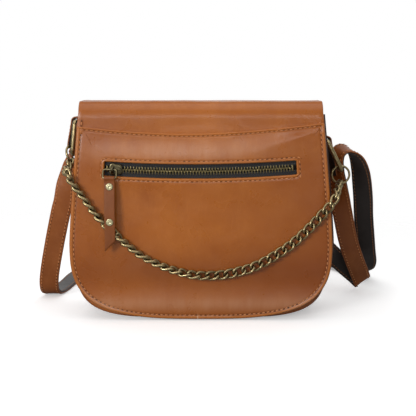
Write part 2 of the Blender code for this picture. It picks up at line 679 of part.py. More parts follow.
def build_slider(plate_front, plate_back, back_plate_front, flange_back):
    """Front plate with its flanges and arch as one casting, and the plate behind the teeth."""
    outline = slider_plate_outline()
    casting = bpy.data.objects.new("zip_slider", in_slider_frame(
        slab_mesh("zip_slider", [outline], plate_front, flange_back)))
    parts.objects.link(casting)
    channel_half = BEAD_OUTER + FIT_GAP
    channel = [(-SLIDER_LENGTH, -channel_half), (SLIDER_LENGTH, -channel_half),
               (SLIDER_LENGTH, channel_half), (-SLIDER_LENGTH, channel_half)]
    cut(casting, "slider_channel", in_slider_frame(
        slab_mesh("slider_channel", [channel], plate_back, flange_back + OVERRUN)))

    arch_top = plate_front - ARCH_ROOM - ARCH_THICK
    foot = plate_front + SLIDER_PLATE / 3
    side = ARCH_HALF
    path = [(foot, -side), (plate_front - ARCH_ROOM / 2, -side),
            (arch_top + ARCH_THICK / 2, -side / 2), (arch_top + ARCH_THICK / 2, side / 2),
            (plate_front - ARCH_ROOM / 2, side), (foot, side)]
    arch = slab_mesh("slider_arch", [thick_line(path, ARCH_THICK)], ARCH_X - ARCH_WIDTH / 2,
                     ARCH_X + ARCH_WIDTH / 2, plane="YZ")
    arch_object = bpy.data.objects.new("slider_arch", in_slider_frame(arch))
    arch_object.hide_render = True
    arch_object.display_type = "WIRE"
    cutters.objects.link(arch_object)
    union = casting.modifiers.new("arch", "BOOLEAN")
    union.operation = "UNION"
    union.object = arch_object
    finish(casting, ANTIQUE_BRASS)

    back = slab_mesh("zip_slider_back", [outline], back_plate_front, back_plate_front + SLIDER_PLATE)
    link_part("zip_slider_back", in_slider_frame(back), ANTIQUE_BRASS)


def pull_pivot(plate_front):
    """Middle of the stirrup's upper bar, and of its lower bar."""
    x, z = zip_place(SLIDER_PLACE)
    upper = Vector((x + STIRRUP_X, plate_front - ARCH_ROOM / 2, z))
    lower = Vector((x + STIRRUP_X, PANEL_FACE_Y - PULL_STAND_OFF, z - STIRRUP_DROP))
    return upper, lower


def build_pull(plate_front):
    """Wire stirrup, folded leather pull and its two rivets, all on the stirrup's upper bar."""
    upper, lower = pull_pivot(plate_front)
    pivot = bpy.data.objects.new("pull_pivot", None)
    pivot.location = upper
    parts.objects.link(pivot)

    down = lower - upper
    corners = rounded_rectangle(-STIRRUP_HALF, STIRRUP_HALF, 0.0, down.length, STIRRUP_CORNER, steps=3)
    route = [Vector((x, 0, 0)) + down.normalized() * reach for x, reach in corners]
    stirrup = link_part("zip_stirrup", wire_mesh("zip_stirrup", [route], STIRRUP_WIRE), ANTIQUE_BRASS)
    stirrup.parent = pivot

    loop_inner = STIRRUP_WIRE + FIT_GAP
    loop_outer = loop_inner + PULL_LAYER
    foot_z = lower.z - PULL_LENGTH + loop_outer
    around = arc_points(lower.y, lower.z, loop_outer, -60, 240, 12)
    fold = [(lower.y - PULL_LAYER, foot_z), (lower.y + PULL_LAYER, foot_z)] + around
    bore = arc_points(lower.y, lower.z, loop_inner, 0, 315, 7)
    left, right = lower.x - PULL_HALF, lower.x + PULL_HALF
    pull = bpy.data.objects.new("pull_tab", slab_mesh("pull_tab", [fold, bore], left, right, plane="YZ"))
    pull.data.transform(Matrix.Translation(-upper))
    pull.parent = pivot
    parts.objects.link(pull)
    finish(pull, BROWN)
    slant = [(left - OVERRUN, foot_z - OVERRUN), (right + OVERRUN, foot_z - OVERRUN),
             (right + OVERRUN, foot_z + PULL_SLANT * (1 + OVERRUN / (right - left))),
             (right, foot_z + PULL_SLANT), (left, foot_z), (left - OVERRUN, foot_z)]
    cut(pull, "pull_slant", slab_mesh("pull_slant", [slant], lower.y - OVERRUN, lower.y + OVERRUN))

    face = lower.y - PULL_LAYER - FIT_GAP
    for name, drop in (("upper", RIVET_UPPER_DROP), ("lower", RIVET_LOWER_DROP)):
        rivet = disc("pull_rivet_" + name, RIVET_RADIUS, RIVET_RADIUS * 0.7, lower.x, lower.z - drop,
                     face - RIVET_DOME, face, ANTIQUE_BRASS, sides=20)
        rivet.location -= upper
        rivet.parent = pivot


def bar_place(side):
    """X and Z of a D-ring's straight bar. side is -1 on the left."""
    z = LEFT_BAR_Z if side < 0 else RIGHT_BAR_Z
    reach = body_outline().half(z) + FIT_GAP + TAB_LEATHER + FIT_GAP + RING_WIRE
    return side * reach, z


def build_tab(side, name):
    """A strip of leather up from the gusset, round the D-ring's bar and out in a short tail."""
    bar_x, bar_z = bar_place(side)
    bar_x = abs(bar_x)
    tail_drop = LEFT_TAIL_DROP if side < 0 else RIGHT_TAIL_DROP
    tail_flare = LEFT_TAIL_FLARE if side < 0 else RIGHT_TAIL_FLARE
    loop = RING_WIRE + FIT_GAP + TAB_LEATHER / 2
    stand = FIT_GAP + TAB_LEATHER / 2
    path = []
    plate_steps = 4
    for k in range(plate_steps):
        z = bar_z - TAB_PLATE * (1 - k / plate_steps)
        path.append((body_outline().half(z) + stand, z))
    path += arc_points(bar_x, bar_z, loop, 180, 0, 10)
    tail_steps = 3
    for k in range(1, tail_steps + 1):
        share = k / tail_steps
        path.append((bar_x + loop + tail_flare * share ** 1.3, bar_z - tail_drop * share))
    outline = [(side * x, z) for x, z in thick_line(path, TAB_LEATHER)]
    slab(name, [outline], -TAB_HALF, TAB_HALF, BROWN)


def ring_route():
    """A D-ring's wire in its own frame: bar on the origin along Y, depth down Z."""
    points = []
    for y, z, radius, start in (
            (RING_HALF - RING_TOP_CORNER, -RING_TOP_CORNER, RING_TOP_CORNER, 90),
            (RING_HALF - RING_LOW_CORNER, RING_LOW_CORNER - RING_DEPTH, RING_LOW_CORNER, 0),
            (RING_LOW_CORNER - RING_HALF, RING_LOW_CORNER - RING_DEPTH, RING_LOW_CORNER, -90),
            (RING_TOP_CORNER - RING_HALF, -RING_TOP_CORNER, RING_TOP_CORNER, -180)):
        points += arc_points(y, z, radius, start, start - 90, 4)
    return [Vector((0, y, z)) for y, z in points]


def ring_lean(side):
    """The angle at which a D-ring's lower bar stands its room away from the gusset."""
    bar_x, bar_z = bar_place(side)
    room = LEFT_RING_ROOM if side < 0 else RIGHT_RING_ROOM
    lean = 0.0
    for _ in range(8):
        low_z = bar_z - RING_DEPTH * math.cos(lean)
        reach = body_outline().half(low_z) + room + RING_WIRE - abs(bar_x)
        lean = math.asin(reach / RING_DEPTH)
    return lean


def ring_matrix(side):
    """Places a D-ring on its bar, swung outwards by its resting angle."""
    bar_x, bar_z = bar_place(side)
    return Matrix.Translation((bar_x, 0, bar_z)) @ Matrix.Rotation(-side * ring_lean(side), 4, "Y")


def lower_bar(side):
    """Middle of a D-ring's lower bar."""
    return ring_matrix(side) @ Vector((0, 0, -RING_DEPTH))


def o_ring_frame(side):
    """Centre of an O-ring and the two directions of its plane. The first points at the chain.

    The right one hangs from the straight lower bar. The left one is drawn into the front corner.
    """
    place = ring_matrix(side)
    if side > 0:
        down = Vector((0, 0, -1))
        return place @ Vector((0, O_SIDE_Y, -RING_DEPTH)) + down * O_SAG, down, Vector((1, 0, 0))
    corner = math.radians(LEFT_O_CORNER_DEG)
    turn = math.radians(LEFT_O_TURN_DEG)
    radial = Vector((0, -math.sin(corner), -math.cos(corner)))
    wire_way = Vector((0, math.cos(corner), -math.sin(corner)))
    corner_middle = Vector((0, RING_LOW_CORNER - RING_HALF, RING_LOW_CORNER - RING_DEPTH))
    wire = place @ (corner_middle + radial * RING_LOW_CORNER)
    swing = place.to_3x3()
    down = swing @ radial
    across = swing @ (Vector((math.cos(turn), 0, 0)) + wire_way * math.sin(turn))
    return wire + down * LEFT_O_SAG, down, across


def build_hardware():
    """Tabs, D-rings and O-rings."""
    for side, name in ((-1, "left"), (1, "right")):
        build_tab(side, "tab_" + name)
        bar_x, bar_z = bar_place(side)
        pivot = bpy.data.objects.new("d_ring_pivot_" + name, None)
        pivot.location = (bar_x, 0, bar_z)
        parts.objects.link(pivot)
        bpy.context.view_layer.update()
        mesh = wire_mesh("d_ring_" + name, [ring_route()], RING_WIRE)
        mesh.transform(ring_matrix(side))
        ring = link_part("d_ring_" + name, mesh, ANTIQUE_BRASS)
        ring.parent = pivot
        ring.matrix_parent_inverse = pivot.matrix_world.inverted()

        centre, down, across = o_ring_frame(side)
        turns = 18
        route = []
        for k in range(turns):
            angle = math.tau * k / turns
            route.append(centre + O_RADIUS * (math.cos(angle) * down + math.sin(angle) * across))
        link_part("o_ring_" + name, wire_mesh("o_ring_" + name, [route], O_WIRE), ANTIQUE_BRASS)


def smooth_point(stations, share):
    """A point on a Catmull-Rom line through stations, for a share that runs from 0 to their count less 1."""
    k = min(int(share), len(stations) - 2)
    t = share - k
    p0, p1 = stations[max(k - 1, 0)], stations[k]
    p2, p3 = stations[k + 1], stations[min(k + 2, len(stations) - 1)]
    return 0.5 * ((2 * p1) + (p2 - p0) * t + (2 * p0 - 5 * p1 + 4 * p2 - p3) * t ** 2
                  + (3 * p1 - p0 - 3 * p2 + p3) * t ** 3)


def even_walk(stations, normals, step):
    """Points at even steps on the smooth line, each with its direction and its normal."""
    fine = 12
    shares = [k / fine for k in range((len(stations) - 1) * fine + 1)]
    places = [smooth_point(stations, share) for share in shares]
    lengths = [0.0]
    for first, second in zip(places, places[1:]):
        lengths.append(lengths[-1] + (second - first).length)
    count = max(round(lengths[-1] / step), 2)
    walk = []
    index = 0
    for k in range(count + 1):
        target = lengths[-1] * k / count
        while index < len(lengths) - 2 and lengths[index + 1] < target:
            index += 1
        part_way = (target - lengths[index]) / (lengths[index + 1] - lengths[index])
        share = shares[index] + (shares[index + 1] - shares[index]) * min(part_way, 1)
        place = smooth_point(stations, share)
        nudge = 0.02
        ahead = smooth_point(stations, min(share + nudge, shares[-1]))
        behind = smooth_point(stations, max(share - nudge, 0))
        along = (ahead - behind).normalized()
        at = min(int(share), len(normals) - 2)
        normal = normals[at].lerp(normals[at + 1], share - at)
        normal = (normal - along * normal.dot(along)).normalized()
        walk.append((place, along, normal))
    return walk, lengths[-1]


def bend_walk(stations, normals):
    """Points close together where the strap bends or twists, and far apart where it runs straight."""
    fine_step = STRAP_STEP / 24
    fine = even_walk(stations, normals, fine_step)[0]
    kept = [fine[0]]
    for point in fine[1:-1]:
        bend = point[1].angle(kept[-1][1]) + point[2].angle(kept[-1][2])
        if bend > math.radians(STRAP_BEND_DEG) or (point[0] - kept[-1][0]).length > STRAP_STEP:
            kept.append(point)
    return kept + [fine[-1]]


def chain_turn(side, shares):
    """Places and normals where the chain goes round the flap's edge."""
    places, normals = [], []
    for beyond, behind, rise, (outwards, forwards) in shares:
        places.append(Vector((side * (FLAP_HALF_WIDE + beyond * CHAIN_TURN),
                              CHAIN_FACE_Y + behind * CHAIN_TURN, CHAIN_LOW_Z + rise * CHAIN_RISE)))
        normals.append(Vector((side * outwards, -forwards, 0)).normalized())
    return places, normals


def chain_route():
    """The chain's whole route, from the left O-ring's wire to the right one's."""
    left_centre, left_down, left_across = o_ring_frame(-1)
    right_centre, right_down, right_across = o_ring_frame(1)
    left_places, left_normals = chain_turn(-1, CHAIN_LEFT_TURN_SHARES)
    right_places, right_normals = chain_turn(1, CHAIN_RIGHT_TURN_SHARES)
    swag = []
    for width_share, rise_share in CHAIN_SWAG_SHARES:
        swag.append(Vector((width_share * FLAP_HALF_WIDE, CHAIN_FACE_Y,
                            CHAIN_LOW_Z + rise_share * CHAIN_RISE)))
    stations = [left_centre + left_down * O_RADIUS] + left_places + swag + right_places
    stations.append(right_centre + right_down * O_RADIUS)
    normals = [-left_across] + left_normals + [Vector((0, -1, 0))] * len(swag) + right_normals
    normals.append(right_across)
    return stations, normals


def build_chain():
    """Curb links, each turned to lie flat against the next, from one O-ring to the other."""
    stations, normals = chain_route()
    fine_step = LINK_WIRE / 5
    fine, length = even_walk(stations, normals, fine_step)
    pitch = (length - 2 * HOOK_REACH) / (CHAIN_LINKS - 1)
    walk = []
    for k in range(CHAIN_LINKS):
        walk.append(fine[round((HOOK_REACH + pitch * k) / length * (len(fine) - 1))])
    half_length = (pitch + LINK_SLACK) / 2 + LINK_WIRE
    crossing = math.acos(pitch / 2 / half_length)
    twist = (LINK_WIRE - LINK_BITE / 2) / math.sin(2 * crossing)
    routes = []
    for place, along, normal in walk:
        across = normal.cross(along)
        route = []
        for k in range(LINK_POINTS):
            turn = math.tau * k / LINK_POINTS
            route.append(place + along * half_length * math.cos(turn)
                         + across * LINK_HALF_WIDTH * math.sin(turn)
                         + normal * twist * math.sin(2 * turn))
        routes.append(route)
    chain = link_part("chain", wire_mesh("chain", routes[0::2], LINK_WIRE, sides_level=0), ANTIQUE_BRASS)
    others = bpy.data.objects.new(
        "chain_even_links", wire_mesh("chain_even_links", routes[1::2], LINK_WIRE, sides_level=0))
    others.hide_render = True
    others.display_type = "WIRE"
    cutters.objects.link(others)
    union = chain.modifiers.new("even_links", "BOOLEAN")
    union.operation = "UNION"
    union.object = others


def strap_loop(side, shares):
    """The strap's places round a D-ring's lower bar."""
    bar = lower_bar(side)
    loop = []
    for (outwards, backwards, up), (face_out, face_back, face_up) in shares:
        place = bar + Vector((side * outwards, backwards, up)) * STRAP_WRAP
        loop.append((place, Vector((side * face_out, face_back, face_up))))
    return loop


def strap_fall(side, shares):
    """The strap's places between a D-ring and the ground."""
    bar = lower_bar(side)
    fall = []
    for (flare, back, height), (face_out, face_back, face_up) in shares:
        place = Vector((bar.x + side * flare * STRAP_FLARE, back * STRAP_BACK, height * bar.z))
        fall.append((place, Vector((side * face_out, face_back, face_up))))
    return fall


def strap_lie(shares, rest_z, slide_z):
    """The strap's places on the ground, lifted where it goes into the adjuster."""
    lie = []
    for (spread, back, lift), facing in shares:
        place = Vector((spread * STRAP_SPREAD, back * STRAP_BACK, rest_z + lift * (slide_z - rest_z)))
        lie.append((place, Vector(facing)))
    return lie


def strap_route():
    """The strap's whole route: places, and the way its leather looks at each."""
    route = strap_loop(-1, STRAP_LEFT_LOOP_SHARES) + strap_fall(-1, STRAP_LEFT_FALL_SHARES)
    route += strap_lie(STRAP_LOW_LIE_SHARES, LIE_LOW_Z, SLIDE_LOW_Z)
    route += strap_fall(1, STRAP_RIGHT_RISE_SHARES) + strap_loop(1, STRAP_RIGHT_LOOP_SHARES)
    route += strap_fall(1, STRAP_TAIL_FALL_SHARES) + strap_lie(STRAP_TOP_LIE_SHARES, LIE_TOP_Z, SLIDE_TOP_Z)
    return [place for place, _ in route], [facing.normalized() for _, facing in route]


def ribbon_mesh(name, walk, offset, thickness):
    """A flat band along a walk, at an offset along its normal."""
    work = bmesh.new()
    rings = []
    for place, along, normal in walk:
        across = normal.cross(along) * STRAP_WIDTH / 2
        low = place + normal * (offset - thickness / 2)
        high = place + normal * (offset + thickness / 2)
        corners = (low - across, low + across, high + across, high - across)
        rings.append([work.verts.new(corner) for corner in corners])
    for first, second in zip(rings, rings[1:]):
        for k in range(4):
            a, b, c, d = first[k], first[(k + 1) % 4], second[(k + 1) % 4], second[k]
            both = ((a, b, d), (b, c, d)) if k == 2 else ((a, b, c), (a, c, d))
            for corners in both:
                work.faces.new(corners)
    work.faces.new(rings[0][::-1])
    work.faces.new(rings[-1])
    bmesh.ops.recalc_face_normals(work, faces=work.faces)
    mesh = bpy.data.meshes.new(name)
    work.to_mesh(mesh)
    work.free()
    return mesh


def build_strap():
    """Leather and lining of the strap, and the slide adjuster behind the bag."""
    walk = bend_walk(*strap_route())
    leather_offset = (STRAP_THICK - STRAP_LEATHER) / 2
    lining_offset = (STRAP_LINING - STRAP_THICK) / 2
    link_part("strap_leather", ribbon_mesh("strap_leather", walk, leather_offset, STRAP_LEATHER), BROWN)
    link_part("strap_lining", ribbon_mesh("strap_lining", walk, lining_offset, STRAP_LINING), BLACK_CLOTH)

    middle_y = STRAP_BACK
    window_half = STRAP_WIDTH / 2 + SLIDE_ROOM * 3
    frame_half = window_half + SLIDE_SIDE
    half_layer = STRAP_THICK / 2 + SLIDE_ROOM
    windows = []
    for z in (SLIDE_LOW_Z, SLIDE_TOP_Z):
        windows.append([(middle_y - window_half, z - half_layer), (middle_y + window_half, z - half_layer),
                        (middle_y + window_half, z + half_layer), (middle_y - window_half, z + half_layer)])
    frame = rounded_rectangle(middle_y - frame_half, middle_y + frame_half,
                              SLIDE_LOW_Z - half_layer - SLIDE_BAR,
                              SLIDE_TOP_Z + half_layer + SLIDE_BAR, SLIDE_BAR, steps=3)
    slab("strap_slider", [frame] + windows, SLIDE_X - SLIDE_THICK / 2, SLIDE_X + SLIDE_THICK / 2,
         ANTIQUE_BRASS, plane="YZ")


build_body()
build_flap()
build_zip()
build_hardware()
build_chain()
build_strap()
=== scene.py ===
"""Looks of the satchel: leather, stitches, zip, chain, rings, strap, floor and light."""

import math

import bmesh
import bpy
import numpy as np
from mathutils import Matrix, Vector, noise


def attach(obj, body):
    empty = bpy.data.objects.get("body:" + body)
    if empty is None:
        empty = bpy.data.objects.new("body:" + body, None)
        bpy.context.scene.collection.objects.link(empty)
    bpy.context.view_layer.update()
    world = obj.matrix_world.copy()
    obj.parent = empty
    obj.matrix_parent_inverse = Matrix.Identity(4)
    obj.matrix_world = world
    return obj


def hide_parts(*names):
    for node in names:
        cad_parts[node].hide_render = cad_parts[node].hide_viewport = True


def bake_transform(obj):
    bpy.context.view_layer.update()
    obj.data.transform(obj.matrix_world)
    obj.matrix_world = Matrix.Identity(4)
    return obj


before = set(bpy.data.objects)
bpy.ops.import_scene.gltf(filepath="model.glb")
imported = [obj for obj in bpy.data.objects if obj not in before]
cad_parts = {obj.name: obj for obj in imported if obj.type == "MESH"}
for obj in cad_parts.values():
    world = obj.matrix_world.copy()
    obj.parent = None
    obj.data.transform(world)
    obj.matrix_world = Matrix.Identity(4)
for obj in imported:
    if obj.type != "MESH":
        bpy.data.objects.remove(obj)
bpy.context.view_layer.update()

MM = 0.001

# Sizes that the solids have
SIDE_POWER = 1.2
FLAP = dict(half_top=0.1225, half_wide=0.1362, top_z=0.228, wide_z=0.080, bottom_z=0.001, power=3.1)
BODY = dict(half_top=0.1275, half_wide=0.133, top_z=0.205, wide_z=0.085, bottom_z=-0.001, power=4.5)
BODY_HALF_DEPTH = 0.036
BODY_TOP = 0.205
BACK_TOP = 0.213
LEATHER = 0.0018
FLAP_LEATHER = 0.0014
FOLD_Z = 0.2157
FOLD_RADIUS = 0.0114
BACK_FOLD_Y = 0.0377
YOKE_FACE_Y = -0.0475
YOKE_TAIL_Z = 0.165
PANEL_FACE_Y = -0.0492
HEM_BACK_Y = -0.0417
SEAM_DIP_X = -0.015
SEAM_DIP_Z = 0.1947
SEAM_RISE = 0.0105
SEAM_SPAN = 0.135
SEAM_POWER = 1.7
SEAM_HALF = 0.1252
ZIP_RADIUS = 1.35
ZIP_DIP_X = -0.008
ZIP_CENTRE_Z = 0.1563 + ZIP_RADIUS
SLOT_LEFT = -0.090
SLOT_RIGHT = 0.1055
SLOT_HALF = 0.007
TEETH = 62
TEETH_LEFT = -0.0845
TOOTH_PITCH = 0.00298
TAPE_FRONT_Y = -0.0475
TAPE_THICK = 0.0006
STITCH_PITCH = 0.0048


# Materials

class Value:
    """A number inside a shader, so that a formula can be written as one."""

    def __init__(self, tree, socket):
        self.tree, self.socket = tree, socket

    def math(self, operation, *others, clamp=False):
        node = self.tree.nodes.new("ShaderNodeMath")
        node.operation = operation
        node.use_clamp = clamp
        for place, value in enumerate((self,) + others):
            if isinstance(value, Value):
                self.tree.links.new(value.socket, node.inputs[place])
            else:
                node.inputs[place].default_value = value
        return Value(self.tree, node.outputs[0])

    def __add__(self, other):
        return self.math("ADD", other)

    def __sub__(self, other):
        return self.math("SUBTRACT", other)

    def __mul__(self, other):
        return self.math("MULTIPLY", other)

    def __truediv__(self, other):
        return self.math("DIVIDE", other)

    def __pow__(self, other):
        return self.math("POWER", other)

    def hill(self, middle, width):
        """1 at the middle, falling away on both sides."""
        spread = (self - middle) / width
        return Value(self.tree, (spread * spread * -1.0).math("EXPONENT").socket)

    def clamp(self):
        return self.math("ADD", 0.0, clamp=True)

    def line(self):
        """1 where a value is halfway between 0 and 1, so that a spread noise gives thin lines."""
        return (self * (self * -1.0 + 1.0) * 4.0).clamp()


class Shade:
    """One material and the means to write it."""

    def __init__(self, name):
        self.material = bpy.data.materials.new(name)
        self.material.use_nodes = True
        self.tree = self.material.node_tree
        self.shader = self.tree.nodes["Principled BSDF"]
        self.place = self.tree.nodes.new("ShaderNodeTexCoord").outputs["Object"]
        self.relief = None

    def stretched(self, scale):
        mapping = self.tree.nodes.new("ShaderNodeMapping")
        mapping.inputs["Scale"].default_value = scale
        self.tree.links.new(self.place, mapping.inputs["Vector"])
        return mapping.outputs[0]

    def noise(self, scale, detail=3.0, rough=0.5, stretch=None, distortion=0.0):
        node = self.tree.nodes.new("ShaderNodeTexNoise")
        node.inputs["Scale"].default_value = scale
        node.inputs["Detail"].default_value = detail
        node.inputs["Roughness"].default_value = rough
        node.inputs["Distortion"].default_value = distortion
        self.tree.links.new(self.stretched(stretch) if stretch else self.place, node.inputs["Vector"])
        return Value(self.tree, node.outputs[0])

    def cells(self, scale):
        node = self.tree.nodes.new("ShaderNodeTexVoronoi")
        node.inputs["Scale"].default_value = scale
        self.tree.links.new(self.place, node.inputs["Vector"])
        return Value(self.tree, node.outputs["Distance"])

    def wave(self, scale, direction, distortion):
        node = self.tree.nodes.new("ShaderNodeTexWave")
        node.bands_direction = direction
        node.inputs["Scale"].default_value = scale
        node.inputs["Distortion"].default_value = distortion
        self.tree.links.new(self.place, node.inputs["Vector"])
        return Value(self.tree, node.outputs["Fac"])

    def axes(self):
        node = self.tree.nodes.new("ShaderNodeSeparateXYZ")
        self.tree.links.new(self.place, node.inputs[0])
        return [Value(self.tree, output) for output in node.outputs]

    def span(self, value, low, high, start=0.0, end=1.0):
        """Stretches a value's range low to high onto start to end."""
        node = self.tree.nodes.new("ShaderNodeMapRange")
        self.tree.links.new(value.socket, node.inputs["Value"])
        for name, number in (("From Min", low), ("From Max", high), ("To Min", start), ("To Max", end)):
            node.inputs[name].default_value = number
        return Value(self.tree, node.outputs[0])

    def mix(self, share, first, second):
        """A colour on the way from the first to the second."""
        node = self.tree.nodes.new("ShaderNodeMix")
        node.data_type = "RGBA"
        self.feed(node.inputs[0], share)
        self.feed(node.inputs[6], first)
        self.feed(node.inputs[7], second)
        return node.outputs[2]

    def feed(self, target, source):
        """Gives an input a number, a colour or a link."""
        if isinstance(source, Value):
            self.tree.links.new(source.socket, target)
        elif isinstance(source, tuple):
            target.default_value = (*source, 1.0)
        elif isinstance(source, (int, float)):
            target.default_value = source
        else:
            self.tree.links.new(source, target)

    def bump(self, height, distance, strength):
        """Adds a relief to those that the shade has."""
        node = self.tree.nodes.new("ShaderNodeBump")
        node.inputs["Strength"].default_value = strength
        node.inputs["Distance"].default_value = distance
        self.tree.links.new(height.socket, node.inputs["Height"])
        if self.relief:
            self.tree.links.new(self.relief, node.inputs["Normal"])
        self.relief = node.outputs[0]
        self.tree.links.new(self.relief, self.shader.inputs["Normal"])

    def set(self, **values):
        for name, value in values.items():
            self.feed(self.shader.inputs[name.replace("_", " ")], value)
        return self


def flap_colour(shade, colour, deep, light):
    """Painted light and shade in the flap's colour: painted shade at the rim, on the right side and low down,
    painted highlight on the turned edges and painted shade in the grooves, painted sheen bands, and a pale
    nick.
    """
    x, _, z = shade.axes()
    across, up = x / 0.150, (z - 0.150) / 0.150
    rim = (across * across + up * up).math("SQRT")
    # Painted shade: darker towards the flap's rim, most of all low down and at the sides.
    colour = shade.mix(shade.span(rim, 0.35, 1.10).clamp() * 0.50, colour, deep)
    # Painted shade on the right side, away from the key light, and in a band across the flap at the height of
    # the chain's lowest links.
    painted_right_shade = shade.span(x, 0.000, 0.135).clamp() * shade.span(z, 0.205, 0.150).clamp() * 0.45
    shaded = painted_right_shade + z.hill(0.052, 0.020) * 0.50
    colour = shade.mix(shaded.clamp(), colour, tuple(channel * 0.80 for channel in deep))
    edge = shade.tree.nodes.new("ShaderNodeAttribute")
    edge.attribute_name = "edge"
    rubbed_and_painted_light = Value(shade.tree, edge.outputs["Fac"])
    # Painted shade in the stitched grooves and painted highlight on the turned edges, taken from the edge
    # attribute.
    colour = shade.mix((rubbed_and_painted_light * -1.0).clamp() * 0.75, colour, tuple(channel * 0.45 for channel in deep))
    colour = shade.mix(rubbed_and_painted_light.clamp() * 0.55, colour, light)
    # Painted sheen: pale streaky bands over the zip and above the hem, where the leather swells.
    streaks = shade.span(shade.noise(150, 3, 0.6, stretch=(1.0, 1.0, 0.15)), 0.30, 0.70)
    sheen_over_zip = z.hill(0.1765, 0.0085) * x.hill(-0.020, 0.085) * (streaks * 0.7 + 0.5)
    sheen_at_hem = z.hill(0.0180, 0.0080) * (streaks * 0.4 + 0.8)
    colour = shade.mix(((sheen_over_zip + sheen_at_hem) * 0.32).clamp(), colour, SHEEN_TAN)
    nick = x.hill(-0.0035, 0.0006) * z.hill(0.001, 0.0045)
    return shade.mix(nick * 0.9, colour, NICK_TAN)


def leather(name, base, deep, light, rough, grain=1.0, waxed=0.25, flap=False, gloss=0.42):
    """Smooth waxed leather: cloudy dye, fine pores, soft unevenness, shine rubbed up in patches."""
    shade = Shade(name)
    # Colour: clouds and patches of dye, thin creases and scuffs, dark specks
    clouds = shade.span(shade.noise(14, 4, 0.55, distortion=0.6), 0.32, 0.70)
    patches = shade.span(shade.noise(46, 5, 0.6), 0.38, 0.72)
    specks = shade.span(shade.noise(900, 2, 0.6), 0.35, 0.75)
    creases = shade.span(shade.noise(22, 6, 0.7, stretch=(1.0, 1.0, 0.35), distortion=1.2), 0.485, 0.515)
    colour = shade.mix(clouds * 0.60, base, deep)
    colour = shade.mix(patches * 0.30, colour, light)
    colour = shade.mix(creases.line() * 0.16, colour, light)
    scuffs = shade.span(shade.noise(9, 5, 0.65, distortion=2.6), 0.480, 0.520)
    colour = shade.mix(scuffs.line() * patches * 0.22, colour, light)
    colour = shade.mix(specks * 0.14, colour, deep)
    shine = shade.span(shade.noise(30, 4, 0.6, distortion=0.4), 0.35, 0.68, rough - 0.06, rough + 0.08)
    # On the flap the colour also gets painted shade, painted highlights and painted sheen.
    if flap:
        colour = flap_colour(shade, colour, deep, light)
        dull = shade.span(shade.axes()[2], DULL_ABOVE[0], DULL_ABOVE[1], 1.0, 0.3)
        waxed, gloss = dull * waxed, dull * gloss
    shade.set(Base_Color=colour, Roughness=shine, Specular_IOR_Level=gloss,
              Coat_Weight=waxed, Coat_Roughness=0.22, Coat_IOR=1.45)
    # Relief: soft unevenness, wrinkles, pores
    shade.bump(shade.noise(26, 3, 0.5, distortion=0.8), 0.0012, 0.5)
    shade.bump(shade.noise(120, 4, 0.6), 0.00026, 0.4)
    pores = shade.cells(1500) * 0.6 + shade.noise(2300, 2, 0.6) * 0.5
    shade.bump(pores, 0.00010 * grain, 0.5)
    return shade.material


def brass(name, bright, dark, rough):
    """Antique brass: polished on the high places and dark in the hollows."""
    shade = Shade(name)
    blotch = shade.span(shade.noise(240, 4, 0.6), 0.36, 0.64)
    fine = shade.span(shade.noise(1300, 3, 0.6), 0.36, 0.66)
    shadow = shade.tree.nodes.new("ShaderNodeAmbientOcclusion")
    shadow.inputs["Distance"].default_value = 0.0032
    shadow.samples = 8
    open_share = shade.span(Value(shade.tree, shadow.outputs["AO"]), 0.30, 0.90).clamp()
    rubbed_and_painted_light = (open_share * (blotch * 0.45 + 0.62)).clamp()
    colour = shade.mix(rubbed_and_painted_light, dark, bright)
    colour = shade.mix(fine * 0.25, colour, dark)
    shade.set(Base_Color=colour, Metallic=1.0,
              Roughness=shade.span(blotch, 0.0, 1.0, rough + 0.14, rough - 0.04))
    shade.bump(shade.noise(420, 4, 0.6), 0.00012, 0.5)
    return shade.material


def cloth(name, base, light):
    """Woven cloth: threads both ways."""
    shade = Shade(name)
    threads = shade.wave(500, "X", 0.4) * shade.wave(500, "Z", 0.4)
    wear_and_painted_light = shade.span(shade.noise(60, 4, 0.6), 0.35, 0.7)
    shade.set(Base_Color=shade.mix(threads * 0.5 + wear_and_painted_light * 0.3, base, light), Roughness=0.88,
              Sheen_Weight=0.25, Sheen_Roughness=0.5)
    shade.bump(threads, 0.00012, 0.8)
    shade.bump(shade.noise(35, 3, 0.5), 0.0012, 0.4)
    return shade.material


def tape_cloth(name):
    """Zip tape: a twill of slanting ribs."""
    shade = Shade(name)
    x, _, z = shade.axes()
    ribs = ((x * 2600.0 + (z * 900.0).math("SINE") * 2.2).math("SINE") + 1.0) * 0.5
    shade.set(Base_Color=shade.mix(ribs * 0.6, (0.006, 0.006, 0.007), (0.022, 0.021, 0.022)), Roughness=0.82,
              Sheen_Weight=0.2)
    shade.bump(ribs, 0.00015, 0.6)
    shade.bump(shade.noise(1900, 2, 0.6), 0.00010, 0.5)
    return shade.material


def thread(name, base, deep):
    """Waxed thread with a twist."""
    shade = Shade(name)
    twist = shade.wave(1100, "DIAGONAL", 1.0)
    shade.set(Base_Color=shade.mix(twist * 0.5, base, deep), Roughness=0.55)
    shade.bump(twist, 0.0001, 0.5)
    return shade.material


def plain(name, colour, rough, metallic=0.0):
    """One colour with a little rubbing."""
    shade = Shade(name)
    wear_and_painted_light = shade.span(shade.noise(300, 4, 0.6), 0.3, 0.7)
    deep = tuple(channel * 0.6 for channel in colour)
    shade.set(Base_Color=shade.mix(wear_and_painted_light, colour, deep), Roughness=rough, Metallic=metallic)
    shade.bump(shade.noise(700, 3, 0.6), 0.00006, 0.4)
    return shade.material


# Pale colour of the painted sheen bands on the flap, and of the nick in its hem
SHEEN_TAN = (0.58, 0.32, 0.19)
NICK_TAN = (0.72, 0.45, 0.28)
# Heights between which the flap's wax fades, so that its top doesn't glare
DULL_ABOVE = (0.2240, 0.2258)

